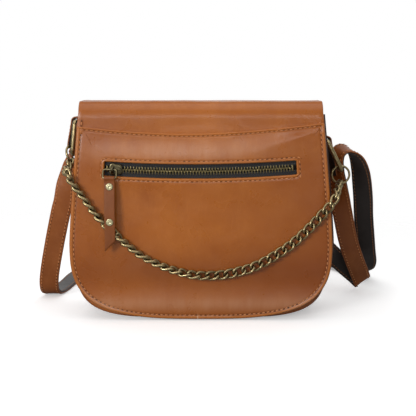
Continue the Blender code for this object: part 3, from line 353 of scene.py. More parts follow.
TAN = leather("tan_leather", (0.400, 0.112, 0.010), (0.250, 0.056, 0.004), (0.50, 0.165, 0.028), rough=0.36)
FLAP_TAN = leather("flap_leather", (0.415, 0.118, 0.010), (0.250, 0.056, 0.004), (0.52, 0.175, 0.030),
                   rough=0.31, waxed=0.20, flap=True)
BROWN = leather("brown_leather", (0.285, 0.078, 0.010), (0.155, 0.036, 0.005), (0.39, 0.130, 0.034),
                rough=0.42, waxed=0.10)
PULL_BROWN = leather("pull_leather", (0.215, 0.060, 0.010), (0.125, 0.030, 0.006), (0.32, 0.105, 0.030),
                     rough=0.46, waxed=0.0, gloss=0.30)
# Dark strip down the flap's right side: the lining's edge, with painted shade.
EDGE = plain("dark_edge_and_shade", (0.060, 0.024, 0.012), 0.5)
BRASS = brass("antique_brass", (0.47, 0.37, 0.19), (0.060, 0.048, 0.024), 0.30)
ZIP_BRASS = brass("zip_brass", (0.26, 0.205, 0.095), (0.045, 0.036, 0.018), 0.34)
SLIDER_BRASS = brass("slider_brass", (0.15, 0.125, 0.068), (0.018, 0.015, 0.009), 0.28)
STIRRUP_BRASS = brass("stirrup_brass", (0.36, 0.30, 0.165), (0.050, 0.042, 0.024), 0.28)
RIVET_BRASS = brass("rivet_brass", (0.66, 0.60, 0.36), (0.20, 0.17, 0.085), 0.36)
STEEL = plain("snap_steel", (0.55, 0.54, 0.52), 0.25, 1.0)
LINING = cloth("lining_cloth", (0.022, 0.018, 0.016), (0.060, 0.050, 0.042))
BLACK_LINING = leather("black_lining", (0.027, 0.021, 0.019), (0.014, 0.011, 0.010), (0.056, 0.044, 0.039),
                       rough=0.50, waxed=0.0, grain=1.6, gloss=0.42)
TAPE = tape_cloth("zip_tape")
THREAD = thread("tan_thread", (0.62, 0.25, 0.085), (0.40, 0.135, 0.040))
STRAP_THREAD = thread("strap_thread", (0.34, 0.150, 0.062), (0.18, 0.075, 0.030))
# Flat dark discs of painted shade in the stitch holes.
HOLE_SHADE = plain("stitch_hole_shade", (0.120, 0.036, 0.009), 0.9)


# Shapes

def link(name, mesh, material, body, nodes=()):
    """A finished piece: its material, its body, the solids it stands for."""
    piece = bpy.data.objects.new(name, mesh)
    bpy.context.scene.collection.objects.link(piece)
    if not mesh.materials:
        mesh.materials.append(material)
    mesh.shade_smooth()
    if body:
        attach(piece, body)
    if nodes:
        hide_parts(*nodes)
    return piece


def mesh_of(name, points, faces):
    mesh = bpy.data.meshes.new(name)
    mesh.from_pydata([tuple(point) for point in points], [], faces)
    work = bmesh.new()
    work.from_mesh(mesh)
    bmesh.ops.recalc_face_normals(work, faces=work.faces)
    work.to_mesh(mesh)
    work.free()
    return mesh


def loft(name, loops, ends=True):
    """Skin over closed loops of equal counts."""
    count = len(loops[0])
    points = [point for loop in loops for point in loop]
    faces = []
    for row in range(len(loops) - 1):
        for k in range(count):
            a = row * count + k
            b = row * count + (k + 1) % count
            faces.append((a, b, b + count, a + count))
    if ends:
        faces.append(tuple(range(count))[::-1])
        faces.append(tuple(range(len(points) - count, len(points))))
    return mesh_of(name, points, faces)


def bevelled(name, mesh, width, segments):
    """A copy of a mesh with rounded edges."""
    piece = bpy.data.objects.new(name, mesh)
    bpy.context.scene.collection.objects.link(piece)
    bevel = piece.modifiers.new("edges", "BEVEL")
    bevel.width = width
    bevel.segments = segments
    bevel.angle_limit = math.radians(35)
    bevel.harden_normals = True
    done = bpy.data.meshes.new_from_object(piece.evaluated_get(bpy.context.evaluated_depsgraph_get()))
    bpy.data.objects.remove(piece)
    done.name = name
    return done


def dressed(node, material, body, width, segments):
    """A solid's own shape with rounded edges."""
    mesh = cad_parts[node].data.copy()
    mesh.materials.clear()
    work = bmesh.new()
    work.from_mesh(mesh)
    bmesh.ops.remove_doubles(work, verts=work.verts, dist=0.02 * MM)
    bmesh.ops.dissolve_limit(work, angle_limit=math.radians(1), verts=work.verts, edges=work.edges)
    work.to_mesh(mesh)
    work.free()
    link(node + "_look", bevelled(node, mesh, width, segments), material, body, [node])


def half_width(z, shape, inset=0.0):
    """How far a D shape reaches from its middle at a height."""
    wide = shape["half_wide"] - inset
    if z >= shape["wide_z"]:
        rise = (z - shape["wide_z"]) / (shape["top_z"] - shape["wide_z"])
        return wide - (shape["half_wide"] - shape["half_top"]) * rise ** SIDE_POWER
    bottom = shape["bottom_z"] + inset
    fall = min((shape["wide_z"] - z) / (shape["wide_z"] - bottom), 1)
    return wide * (1 - fall ** shape["power"]) ** (1 / shape["power"])


def right_side(start_z, shape, inset, step=0.004, floor=None):
    """Points down the right side to the middle of the base, about a step apart."""
    fine = []
    wide_z, bottom = shape["wide_z"], shape["bottom_z"] + inset
    for k in range(80):
        z = start_z + (wide_z - start_z) * k / 80
        fine.append(Vector((half_width(z, shape, inset), z)))
    for k in range(241):
        turn = math.pi / 2 * k / 240
        x = (shape["half_wide"] - inset) * max(math.cos(turn), 0) ** (2 / shape["power"])
        z = wide_z - (wide_z - bottom) * math.sin(turn) ** (2 / shape["power"])
        fine.append(Vector((x, z if floor is None else max(z, floor + inset))))
    return even_line(fine, step)


def lengths_along(points):
    """How far along a polyline each of its points is."""
    lengths = [0.0]
    for first, second in zip(points, points[1:]):
        lengths.append(lengths[-1] + (second - first).length)
    return lengths


def beside(items, k):
    """The neighbours of an item, or itself at an end."""
    return items[max(k - 1, 0)], items[min(k + 1, len(items) - 1)]


def even_line(points, step):
    """Points at even steps on a polyline."""
    lengths = lengths_along(points)
    count = max(round(lengths[-1] / step), 1)
    line, k = [], 0
    for n in range(count + 1):
        target = lengths[-1] * n / count
        while k < len(points) - 2 and lengths[k + 1] < target:
            k += 1
        part = (target - lengths[k]) / max(lengths[k + 1] - lengths[k], 1e-9)
        line.append(points[k].lerp(points[k + 1], min(part, 1)))
    return line


def outline(start_z, shape, inset=0.0, step=0.004, floor=None):
    """Right top corner, down, along the base and up to the left top corner."""
    right = right_side(start_z, shape, inset, step, floor)
    return right + [Vector((-p.x, p.y)) for p in reversed(right[:-1])]


def seam_z(x):
    """Height of the seam between yoke and lower panel."""
    return SEAM_DIP_Z + SEAM_RISE * (abs(x - SEAM_DIP_X) / SEAM_SPAN) ** SEAM_POWER


def zip_place(along, drop=0.0):
    """A place on the zip's curve, or below it by a drop."""
    turn = along / ZIP_RADIUS
    reach = ZIP_RADIUS + drop
    return Vector((ZIP_DIP_X + reach * math.sin(turn), ZIP_CENTRE_Z - reach * math.cos(turn)))


def gap_to(line, xs, zs):
    """Distance of each point from an open polyline."""
    best = np.full(len(xs), 1e9)
    for first, second in zip(line, line[1:]):
        dx, dz = second.x - first.x, second.y - first.y
        length = max(dx * dx + dz * dz, 1e-18)
        share = np.clip(((xs - first.x) * dx + (zs - first.y) * dz) / length, 0, 1)
        best = np.minimum(best, np.hypot(xs - first.x - share * dx, zs - first.y - share * dz))
    return best


def soft_noise(xs, zs, scale, seed):
    return np.array([noise.noise(Vector((x * scale, seed, z * scale))) for x, z in zip(xs, zs)])


def swell(gap, middle, width):
    """1 where the gap is the middle, falling away on both sides."""
    return np.exp(-((gap - middle) / width) ** 2)


# The swell of the zip pocket under the lower panel: where its crest runs and how full it is
POCKET_CREST_X = (-0.130, -0.108, 0.030, 0.118)
POCKET_CREST_Z = (0.184, 0.168, 0.166, 0.1965)
POCKET_FULL_X = (-0.130, -0.100, -0.030, 0.050, 0.100, 0.122)
POCKET_FULL = (0.20, 0.80, 1.00, 0.95, 0.60, 0.25)

POCKET_RISE = 1.9 * MM
POCKET_FALL = 0.050
# The swell above the hem: where it starts and is full, and where it gets flatter again
HEM_RISE = 1.7 * MM
HEM_SWELL_FROM_Z = 0.040
HEM_SWELL_RUN = 0.022
HEM_FLAT_FROM_Z = 0.014
HEM_FLAT_RUN = 0.012
# Stitched grooves of the lower panel, from its edges, and how far its relief may go
GROOVE_AT_SEAM = 2.8 * MM
GROOVE_AT_SIDE = 4.8 * MM
GROOVE_AT_SLOT = 3.4 * MM
DEEPEST = -0.7 * MM
HIGHEST = 2.6 * MM

# Lines of the flap
LINE_POINTS = 66
SEAM = [Vector((x, seam_z(x))) for x in np.linspace(-SEAM_HALF, SEAM_HALF, LINE_POINTS)]
SIDES = outline(SEAM[-1].y, FLAP)
SLOT_TOP = [zip_place(s, -SLOT_HALF) for s in np.linspace(SLOT_LEFT, SLOT_RIGHT, LINE_POINTS)]
SLOT_BOTTOM = [zip_place(s, SLOT_HALF) for s in np.linspace(SLOT_LEFT, SLOT_RIGHT, LINE_POINTS)]
SLOT_LOOP = SLOT_TOP + SLOT_BOTTOM[::-1] + SLOT_TOP[:1]


def soft_step(share):
    """0 to 1 with a soft start and end."""
    share = np.clip(share, 0, 1)
    return share * share * (3 - 2 * share)


def panel_relief(xs, zs):
    """How far the lower panel stands out towards the front at each place."""
    xs, zs = np.asarray(xs, float), np.asarray(zs, float)
    side = gap_to(SIDES, xs, zs)
    seam = gap_to(SEAM, xs, zs)
    slot = gap_to(SLOT_LOOP, xs, zs)
    out = 0.40 * MM * soft_noise(xs, zs, 21, 3.0) + 0.16 * MM * soft_noise(xs, zs, 55, 9.0)
    top = seam_z(xs) - 3.5 * MM
    crest = np.interp(xs, POCKET_CREST_X, POCKET_CREST_Z)
    full = np.interp(xs, POCKET_FULL_X, POCKET_FULL) * (1 + 0.14 * soft_noise(xs, zs * 0.1, 130, 5.0))
    pocket = soft_step((top - zs) / (top - crest)) * (1 - soft_step((crest - zs) / POCKET_FALL))
    out += POCKET_RISE * full * pocket
    out += 0.22 * MM * swell(seam, 1.2 * MM, 0.9 * MM) - 0.40 * MM * swell(seam, GROOVE_AT_SEAM, 1.0 * MM)
    out += 0.35 * MM * swell(side, 2.2 * MM, 1.5 * MM) - 0.32 * MM * swell(side, GROOVE_AT_SIDE, 1.2 * MM)
    low = soft_step((HEM_SWELL_FROM_Z - zs) / HEM_SWELL_RUN)
    low *= 1 - 0.6 * soft_step((HEM_FLAT_FROM_Z - zs) / HEM_FLAT_RUN)
    uneven = 1 + 0.08 * soft_noise(xs, zs * 0.1, 90, 7.0) + 0.35 * soft_noise(xs, zs, 14, 8.0)
    out += HEM_RISE * low * uneven
    out += 0.28 * MM * swell(slot, 1.4 * MM, 0.9 * MM) - 0.36 * MM * swell(slot, GROOVE_AT_SLOT, 1.0 * MM)
    out += 0.12 * MM * soft_noise(xs, zs, 190, 5.0) * swell(side, 7 * MM, 5 * MM)
    return np.clip(out, DEEPEST, HIGHEST)


def panel_edge_light_and_shade(xs, zs):
    """Painted highlight on the turned edges (up to 1), painted shade in the stitched grooves (down to -1)."""
    xs, zs = np.asarray(xs, float), np.asarray(zs, float)
    side, seam, slot = gap_to(SIDES, xs, zs), gap_to(SEAM, xs, zs), gap_to(SLOT_LOOP, xs, zs)
    wear_and_painted_light = swell(side, 2.0 * MM, 1.6 * MM) - 0.9 * swell(side, GROOVE_AT_SIDE, 0.8 * MM)
    wear_and_painted_light += 0.4 * swell(seam, 0.6 * MM, 0.9 * MM) - 0.5 * swell(seam, GROOVE_AT_SEAM, 0.7 * MM)
    return wear_and_painted_light + swell(slot, 1.0 * MM, 1.3 * MM) - 0.4 * swell(slot, GROOVE_AT_SLOT, 0.7 * MM)


def offset_loop(loop, amounts, sign):
    """Moves the points of a closed loop along their normals by their own amounts."""
    count = len(loop)
    moved = []
    for k, point in enumerate(loop):
        along = loop[(k + 1) % count] - loop[k - 1]
        aside = Vector((-along.y, along.x)).normalized() * sign
        moved.append(point + aside * amounts[k])
    return moved


# Rows of the lower panel's skin: how far each lies from the rim or the slot, and how far it drops back there
RIM_ROWS = ((0.25, 0.55), (0.75, 0.16), (1.5, 0.0), (2.2, 0.0), (3.0, 0.0), (3.7, 0.0), (4.3, 0.0),
            (4.8, 0.0), (5.3, 0.0), (5.9, 0.0), (6.8, 0.0), (8.0, 0.0))
SLOT_ROWS = ((5.2, 0.0), (4.4, 0.0), (3.9, 0.0), (3.4, 0.0), (2.9, 0.0), (2.2, 0.0), (1.4, 0.0), (0.6, 0.12),
             (0.2, 0.45))
MIDDLE_ROWS = 30
# The panel's edge turns back below this height, and all the way once it is the run lower
TURNED_BELOW_Z = 0.192
TURNED_RUN = 0.006
TURNED_DEPTH = 4.5 * MM


def slot_ring(side_count):
    """The slot's outline with as many points as the panel's outline has."""
    end_count = max(side_count // 5, 4)
    right_end = [SLOT_TOP[-1].lerp(SLOT_BOTTOM[-1], k / (end_count + 1)) for k in range(1, end_count + 1)]
    bottom = [zip_place(s, SLOT_HALF) for s in np.linspace(SLOT_RIGHT, SLOT_LEFT, side_count - 2 * end_count)]
    left_end = [SLOT_BOTTOM[0].lerp(SLOT_TOP[0], k / (end_count + 1)) for k in range(1, end_count + 1)]
    return SLOT_TOP + right_end + bottom + left_end


def build_panel():
    """The lower leather of the flap: turned edges, folded seam edge and folded slot edge."""
    sides = SIDES[1:-1]
    outer, inner = SEAM + sides, slot_ring(len(sides))
    count = len(outer)
    walls = [YOKE_FACE_Y - 0.05 * MM] * len(SEAM)
    for point in sides:
        share = min(max((TURNED_BELOW_Z - point.y) / TURNED_RUN, 0), 1)
        walls.append(YOKE_FACE_Y + (HEM_BACK_Y - YOKE_FACE_Y) * share)
    roll = [0.6] * len(SEAM) + [1.0] * len(sides)
    hem = [min(TURNED_DEPTH, TURNED_DEPTH * (wall - YOKE_FACE_Y) / (HEM_BACK_Y - YOKE_FACE_Y) + 1.0 * MM)
           for wall in walls]
    loops = []
    for offsets, depths in ((hem, walls), ([h * 0.4 for h in hem], walls),
                            ([0.25 * MM] * count, [wall - 0.3 * MM for wall in walls]),
                            ([0.0] * count, [wall - 0.8 * MM for wall in walls]),
                            ([0.0] * count, [PANEL_FACE_Y + 1.3 * MM * r for r in roll])):
        loops.append([(p.x, y, p.y) for p, y in zip(offset_loop(outer, offsets, -1), depths)])
    rim_rows = [(offset_loop(outer, [inset * MM * r for r in roll], -1), back * MM)
                for inset, back in RIM_ROWS]
    slot_rows = [(offset_loop(inner, [inset * MM] * count, 1), back * MM) for inset, back in SLOT_ROWS]
    middle = []
    for k in range(1, MIDDLE_ROWS):
        middle.append(([a.lerp(b, k / MIDDLE_ROWS) for a, b in zip(rim_rows[-1][0], slot_rows[0][0])], 0.0))
    for points, back in rim_rows + middle + slot_rows:
        relief = panel_relief([p.x for p in points], [p.y for p in points])
        keep = max(1 - back / (0.4 * MM), 0)
        loops.append([(p.x, PANEL_FACE_Y - relief[k] * keep + back, p.y) for k, p in enumerate(points)])
    loops.append([(p.x, PANEL_FACE_Y + 1.0 * MM, p.y) for p in inner])
    loops.append([(p.x, PANEL_FACE_Y + 1.7 * MM, p.y) for p in offset_loop(inner, [0.6 * MM] * count, 1)])
    mesh = loft("flap_panel_leather", loops, ends=False)
    # Painted highlight on the turned edges and painted shade in the grooves, kept in the edge attribute.
    wear_and_painted_light = panel_edge_light_and_shade([p[0] for loop in loops for p in loop], [p[2] for loop in loops for p in loop])
    mesh.attributes.new("edge", "FLOAT", "POINT").data.foreach_set("value", wear_and_painted_light.astype(np.float32))
    piece = link("flap_panel_leather", mesh, FLAP_TAN, "flap", ["flap_panel"])
    smooth = piece.modifiers.new("smooth", "SUBSURF")
    smooth.levels = smooth.render_levels = 1


# One stitch, from end to end: how far along it a ring is, how thick and how high
STITCH_RINGS = ((-0.5, 0.25, -0.9), (-0.36, 0.85, 0.1), (0.0, 1.0, 0.6), (0.36, 0.85, 0.1), (0.5, 0.25, -0.9))
STITCH_RADIUS = 0.48 * MM
STITCH_SIDES = 6
HOLE_SIDES = 8


def stitch_run(name, places, normals, body, pitch=STITCH_PITCH, length=3.0 * MM, material=THREAD, slant=9,
               lift=0.12 * MM):
    """Thread lying on a surface, with flat dark discs of painted shade for the holes it goes down."""
    lengths = lengths_along(places)
    count = int(lengths[-1] / pitch)
    points, faces, slots = [], [], []
    k = 0
    for n in range(count):
        target = (n + 0.5) * lengths[-1] / count
        while k < len(places) - 2 and lengths[k + 1] < target:
            k += 1
        part = (target - lengths[k]) / max(lengths[k + 1] - lengths[k], 1e-9)
        place = places[k].lerp(places[k + 1], part)
        normal = normals[k].lerp(normals[k + 1], part).normalized()
        along = places[k + 1] - places[k]
        along = (along - normal * along.dot(normal)).normalized()
        along = Matrix.Rotation(math.radians(slant), 3, normal) @ along
        aside = normal.cross(along)
        base = len(points)
        for reach, share, high in STITCH_RINGS:
            middle = place + along * length * reach + normal * (lift + high * STITCH_RADIUS * 0.6)
            for s in range(STITCH_SIDES):
                turn = math.tau * s / STITCH_SIDES
                points.append(middle + (aside * math.cos(turn) + normal * math.sin(turn) * 0.75)
                              * STITCH_RADIUS * share)
        for ring in range(len(STITCH_RINGS) - 1):
            for s in range(STITCH_SIDES):
                a = base + ring * STITCH_SIDES + s
                b = base + ring * STITCH_SIDES + (s + 1) % STITCH_SIDES
                faces.append((a, b, b + STITCH_SIDES, a + STITCH_SIDES))
                slots.append(0)
        # Painted shade: a flat dark disc where the thread goes down into its hole.
        middle = place + along * pitch * 0.5 + normal * (lift * 0.6)
        base = len(points)
        for s in range(HOLE_SIDES):
            turn = math.tau * s / HOLE_SIDES
            points.append(middle + aside * math.cos(turn) * STITCH_RADIUS * 1.25
                          + along * math.sin(turn) * (pitch - length) * 0.62)
        faces.append(tuple(range(base, base + HOLE_SIDES)))
        slots.append(1)
    mesh = bpy.data.meshes.new(name)
    mesh.from_pydata([tuple(point) for point in points], [], faces)
    mesh.materials.append(material)
    mesh.materials.append(HOLE_SHADE)
    mesh.polygons.foreach_set("material_index", slots)
    link(name, mesh, None, body)


def front_run(name, line, pitch=STITCH_PITCH):
    """Stitches on the front of the lower panel."""
    line = even_line(line, 1.5 * MM)
    relief = panel_relief([p.x for p in line], [p.y for p in line])
    places = [Vector((p.x, PANEL_FACE_Y - relief[k], p.y)) for k, p in enumerate(line)]
    stitch_run(name, places, [Vector((0, -1, 0))] * len(places), "flap", pitch)


SEAM_STITCH_DROP = 2.7 * MM
SEAM_STITCH_HALF = 0.1205
RIM_STITCH_INSET = 4.7 * MM
SLOT_STITCH_PITCH = 4.9 * MM


def build_flap_stitches():
    """Runs below the seam, along the rim and round the slot."""
    low_seam = [Vector((p.x, p.y - SEAM_STITCH_DROP)) for p in SEAM if abs(p.x) < SEAM_STITCH_HALF]
    front_run("stitches_seam", low_seam)
    front_run("stitches_edge", outline(SEAM[-1].y + 1.5 * MM, FLAP, RIM_STITCH_INSET))
    left, right, high = SLOT_LEFT - GROOVE_AT_SLOT, SLOT_RIGHT + GROOVE_AT_SLOT, SLOT_HALF + GROOVE_AT_SLOT
    box = [zip_place(s, -high) for s in np.linspace(left, right, 40)]
    box += [zip_place(s, high) for s in np.linspace(right, left, 40)]
    front_run("stitches_slot", box + box[:1], SLOT_STITCH_PITCH)


def section(half, thickness, columns):
    """Cross-section of a strip: across and up, with three points on each rounded edge."""
    radius = thickness / 2
    points = []
    for side in (1, -1):
        for k in range(columns + 1):
            points.append((side * (-half + radius + (2 * half - 2 * radius) * k / columns), side * radius))
        for k in (1, 2, 3):
            turn = math.pi / 2 - math.pi * k / 4
            points.append((side * (half - radius + radius * math.cos(turn)), side * radius * math.sin(turn)))
    return points


def strip(name, frames, half, thickness, columns, relief=None, ends=True):
    """A strip of leather along frames of place, direction and normal. half may follow the frame's number."""
    loops = []
    for k, (place, along, normal) in enumerate(frames):
        across = along.cross(normal).normalized()
        width = half(k) if callable(half) else half
        loop = []
        for u, v in section(width, thickness, columns):
            lift = relief(u, v, k) if relief else 0.0
            loop.append(place + across * u + normal * (v + lift))
        loops.append(loop)
    return loft(name, loops, ends=ends)


YOKE_LOW_Z = 0.1868
YOKE_HALF = 0.1195
BACK_FOLD_STEPS = 12
FRONT_FOLD_STEPS = 16
TOP_STEPS = 16


def yoke_profile():
    """Places and normals from the yoke's tail over the back fold, the top and the front fold to the seam."""
    profile = []
    for k in range(15):
        z = YOKE_TAIL_Z + (FOLD_Z - YOKE_TAIL_Z) * k / 14
        profile.append((Vector((0, BACK_FOLD_Y, z)), Vector((0, 1, 0))))
    for k in range(1, BACK_FOLD_STEPS + 1):
        turn = math.pi / 2 * k / BACK_FOLD_STEPS
        out = Vector((0, math.cos(turn), math.sin(turn)))
        profile.append((Vector((0, BACK_FOLD_Y - FOLD_RADIUS, FOLD_Z)) + out * FOLD_RADIUS, out))
    start, end = BACK_FOLD_Y - FOLD_RADIUS, YOKE_FACE_Y + FOLD_RADIUS
    for k in range(1, TOP_STEPS):
        y = start + (end - start) * k / TOP_STEPS
        rise = 0.5 * MM * math.sin(math.pi * k / TOP_STEPS)
        profile.append((Vector((0, y, FOLD_Z + FOLD_RADIUS + rise)), Vector((0, 0, 1))))
    deep, tall = FOLD_RADIUS + 1.4 * MM, FOLD_RADIUS + 6 * MM
    for k in range(FRONT_FOLD_STEPS + 1):
        turn = math.pi / 2 * k / FRONT_FOLD_STEPS
        y = YOKE_FACE_Y + deep * (1 - math.sin(turn))
        z = FOLD_Z + FOLD_RADIUS - tall * (1 - math.cos(turn))
        profile.append((Vector((0, y, z)),
                        Vector((0, -math.sin(turn) * tall, math.cos(turn) * deep)).normalized()))
    low = profile[-1][0].z
    for k in range(1, 10):
        profile.append((Vector((0, YOKE_FACE_Y, low - (low - YOKE_LOW_Z) * k / 9)), Vector((0, -1, 0))))
    return profile


def build_yoke():
    """The yoke's leather from the back over the top to the seam, in two lengths that bend at the folds."""
    profile = yoke_profile()
    split = 15 + BACK_FOLD_STEPS + TOP_STEPS - 1 - TOP_STEPS // 2
    frames = []
    for k, (place, out) in enumerate(profile):
        before, after = beside(profile, k)
        frames.append((place - out * FLAP_LEATHER / 2, (after[0] - before[0]).normalized(), out))

    def half(shift):
        def width(k):
            place = profile[k + shift][0]
            return half_width(min(place.z, FOLD_Z), FLAP) if place.y < 0 else half_width(FOLD_Z, FLAP)
        return width

    def relief(shift):
        def lift(u, v, k):
            place = profile[k + shift][0]
            hem = 1 / (1 + math.exp(-(abs(u) - YOKE_HALF) / (0.35 * MM)))
            rumple = noise.noise(Vector((u * 16, place.y * 22, place.z * 22)))
            rumple += 0.5 * noise.noise(Vector((u * 42, place.y * 50 + 7, place.z * 50)))
            outer = v > -FLAP_LEATHER * 0.3
            seat = 0.35 if place.y > 0.03 or (place.y < -0.044 and place.z < 0.200) else 1.0
            tucked = 0.3 * MM * max(k - split, 0) if shift == 0 else 0.0
            return 0.28 * MM * hem * outer + 0.42 * MM * rumple * seat - tucked
        return lift

    back = strip("yoke_leather_back", frames[:split + 4], half(0), FLAP_LEATHER, 60, relief(0))
    front = strip("yoke_leather_front", frames[split:], half(split), FLAP_LEATHER, 60, relief(split),
                  ends=False)
    back_piece = link("yoke_leather_back", back, FLAP_TAN, None, ["yoke_back"])
    front_piece = link("yoke_leather_front", front, FLAP_TAN, None, ["yoke_top", "flap_yoke"])
    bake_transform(back_piece)
    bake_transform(front_piece)


YOKE_SIDE_LOW_Z = 0.1875
LINING_EDGE_TOP_Z = 0.2140
LINING_EDGE_LOW_Z = 0.070
LINING_EDGE_OUT = 0.4 * MM
TAIL_STITCH_HALF = 0.119


def build_flap_edges():
    """Side walls of the yoke, a dark strip down the flap's right side that is the lining's edge with painted
    shade, and the stitches of the yoke's tail.
    """
    for name, side in (("yoke_side_left", -1), ("yoke_side_right", 1)):
        wall, y = [], (YOKE_FACE_Y + HEM_BACK_Y) / 2 + 0.6 * MM
        for k in range(12):
            z = FOLD_Z - (FOLD_Z - YOKE_SIDE_LOW_Z) * k / 11
            wall.append((Vector((side * (half_width(z, FLAP) - 0.35 * MM), y, z)), Vector((0, 0, -1)),
                         Vector((side, 0, 0))))
        link(name, strip(name, wall, 2.6 * MM, 0.7 * MM, 4), FLAP_TAN, "flap")
    # A dark strip behind the flap's right side: the lining's edge, and painted shade along that edge.
    rim = [p for p in right_side(LINING_EDGE_TOP_Z, FLAP, -LINING_EDGE_OUT) if p.y > LINING_EDGE_LOW_Z]
    wall = []
    for k, p in enumerate(rim):
        before, after = beside(rim, k)
        along = (after - before).normalized()
        wall.append((Vector((p.x, HEM_BACK_Y + 0.6 * MM, p.y)), Vector((along.x, 0, along.y)),
                     Vector((0, -1, 0))))
    link("flap_lining_edge_and_shade", strip("flap_lining_edge_and_shade", wall, 1.9 * MM, 0.8 * MM, 4), EDGE, "flap")
    tail = [Vector((x, BACK_FOLD_Y + 0.1 * MM, YOKE_TAIL_Z + 3.2 * MM))
            for x in np.linspace(-TAIL_STITCH_HALF, TAIL_STITCH_HALF, 160)]
    stitch_run("stitches_yoke_tail", tail, [Vector((0, 1, 0))] * len(tail), "bag", slant=-9)


# Rings of a sheet: how large each is, and how far back it lies as a share of the thickness
SHEET_RINGS = ((1.0, 1.0), (1.0, 0.5), (0.9975, 0.12), (0.992, 0.0), (0.982, 0.0), (0.965, 0.0), (0.94, 0.0),
               (0.90, 0.0), (0.85, 0.0), (0.78, 0.0), (0.70, 0.0), (0.60, 0.0), (0.50, 0.0), (0.40, 0.0),
               (0.30, 0.0), (0.20, 0.0), (0.10, 0.0), (0.03, 0.0))


def body_panel(name, node, top, face_y, full, domed):
    """A D shaped leather sheet: full all over and domed in its lower part, in rings that shrink inwards."""
    edge = outline(top, BODY, 0.0, 5 * MM, 0.0)
    loop = edge + [edge[-1].lerp(edge[0], k / 40) for k in range(1, 40)]
    middle = Vector((0, top * 0.5))
    out = math.copysign(1, face_y)
    rows = []
    for share, back in SHEET_RINGS:
        points = [middle + (p - middle) * share for p in loop]
        rumple = soft_noise([p.x for p in points], [p.y for p in points], 24, 11.0 + face_y * 100)
        ring = []
        for k, p in enumerate(points):
            dome = max(0.0, 1 - ((p.y - 0.080) / 0.085) ** 2) * max(0.0, 1 - (p.x / 0.13) ** 2)
            rise = (full + domed * dome) * max(0.0, min(1.0, (1 - share) / 0.3)) ** 0.8
            ripple = 0.35 * MM * rumple[k] * min(1.0, (1 - share) / 0.1)
            ring.append((p.x, face_y + out * (rise + ripple - back * LEATHER), p.y))
        rows.append(ring)
    link(name, loft(name, rows), TAN, "bag", [node])


def build_body():
    """Shell of the bag: bulging panels, a gusset that folds in a little, welts, lining and pocket."""
    body_panel("back_leather", "back_panel", BACK_TOP, BODY_HALF_DEPTH, 0.0, 3.4 * MM)
    body_panel("front_leather", "front_panel", BODY_TOP, -BODY_HALF_DEPTH, 0.5 * MM, 0.0)
    edge = outline(BODY_TOP, BODY, 0.9 * MM, 4 * MM, 0.0)
    frames = []
    for k, p in enumerate(edge):
        before, after = beside(edge, k)
        along = (after - before).normalized()
        out = Vector((-along.y, 0, along.x))
        frames.append((Vector((p.x, 0, max(p.y, 0.9 * MM))), Vector((along.x, 0, along.y)), out))

    def fold(u, v, k):
        place = frames[k][0]
        high = max(0.0, min(1.0, (place.z - 0.045) / 0.06))
        inwards = math.cos(math.pi * u / (2 * BODY_HALF_DEPTH))
        rumple = noise.noise(Vector((place.x * 9, u * 30, place.z * 18)))
        return high * inwards * (0.22 * MM * rumple - 0.2 * MM * inwards)

    gusset = strip("gusset_leather", frames, BODY_HALF_DEPTH - 1.4 * MM, LEATHER, 16, fold)
    link("gusset_leather", gusset, BROWN, "bag", ["gusset"])
    welt = outline(BODY_TOP - 1 * MM, BODY, 1.05 * MM, 4 * MM, 0.0)
    for name, side in (("welt_front", -1), ("welt_back", 1)):
        route = [Vector((p.x, side * (BODY_HALF_DEPTH - 0.6 * MM), max(p.y, 1.1 * MM))) for p in welt]
        link(name, tube(route, 1.0 * MM, 10, False), BROWN, "bag")
    line = outline(BACK_TOP - 6 * MM, BODY, 5.2 * MM, 2 * MM, 0.0)
    places = [Vector((p.x, BODY_HALF_DEPTH + 0.05 * MM, p.y)) for p in line if p.y < YOKE_TAIL_Z - 1 * MM]
    stitch_run("stitches_back", places, [Vector((0, 1, 0))] * len(places), "bag", slant=-9)
    dressed("lining", LINING, "bag", 0.15 * MM, 2)
    dressed("inner_pocket", LINING, "bag", 0.3 * MM, 2)
    dressed("flap_lining", LINING, "flap", 0.4 * MM, 3)
    dressed("zip_pocket", LINING, "flap", 0.3 * MM, 2)
    for node, body in (("snap_socket", "bag"), ("snap_stud", "flap")):
        dressed(node, STEEL, body, 0.35 * MM, 3)


def tube(route, radius, sides, closed=True):
    """Round wire along a route. Its rings turn as little as they can."""
    count = len(route)
    points, faces = [], []
    normal = None
    for k, place in enumerate(route):
        before = route[k - 1] if closed or k else route[0]
        after = route[(k + 1) % count] if closed or k < count - 1 else route[-1]
        along = (after - before).normalized()
        if normal is None:
            normal = along.orthogonal()
        normal = (normal - along * normal.dot(along)).normalized()
        aside = along.cross(normal)
        for s in range(sides):
            turn = math.tau * s / sides
            points.append(place + (normal * math.cos(turn) + aside * math.sin(turn)) * radius)
    rows = count if closed else count - 1
    for k in range(rows):
        for s in range(sides):
            a = k * sides + s
            b = k * sides + (s + 1) % sides
            c, d = (b + sides) % len(points), (a + sides) % len(points)
            faces.append((a, b, c, d))
    if not closed:
        faces.append(tuple(range(sides))[::-1])
        faces.append(tuple(range(len(points) - sides, len(points))))
    return mesh_of("tube", points, faces)


def joined(name, meshes):
    """Several meshes as one."""
    work = bmesh.new()
    for mesh in meshes:
        work.from_mesh(mesh)
    whole = bpy.data.meshes.new(name)
    work.to_mesh(whole)
    work.free()
    return whole


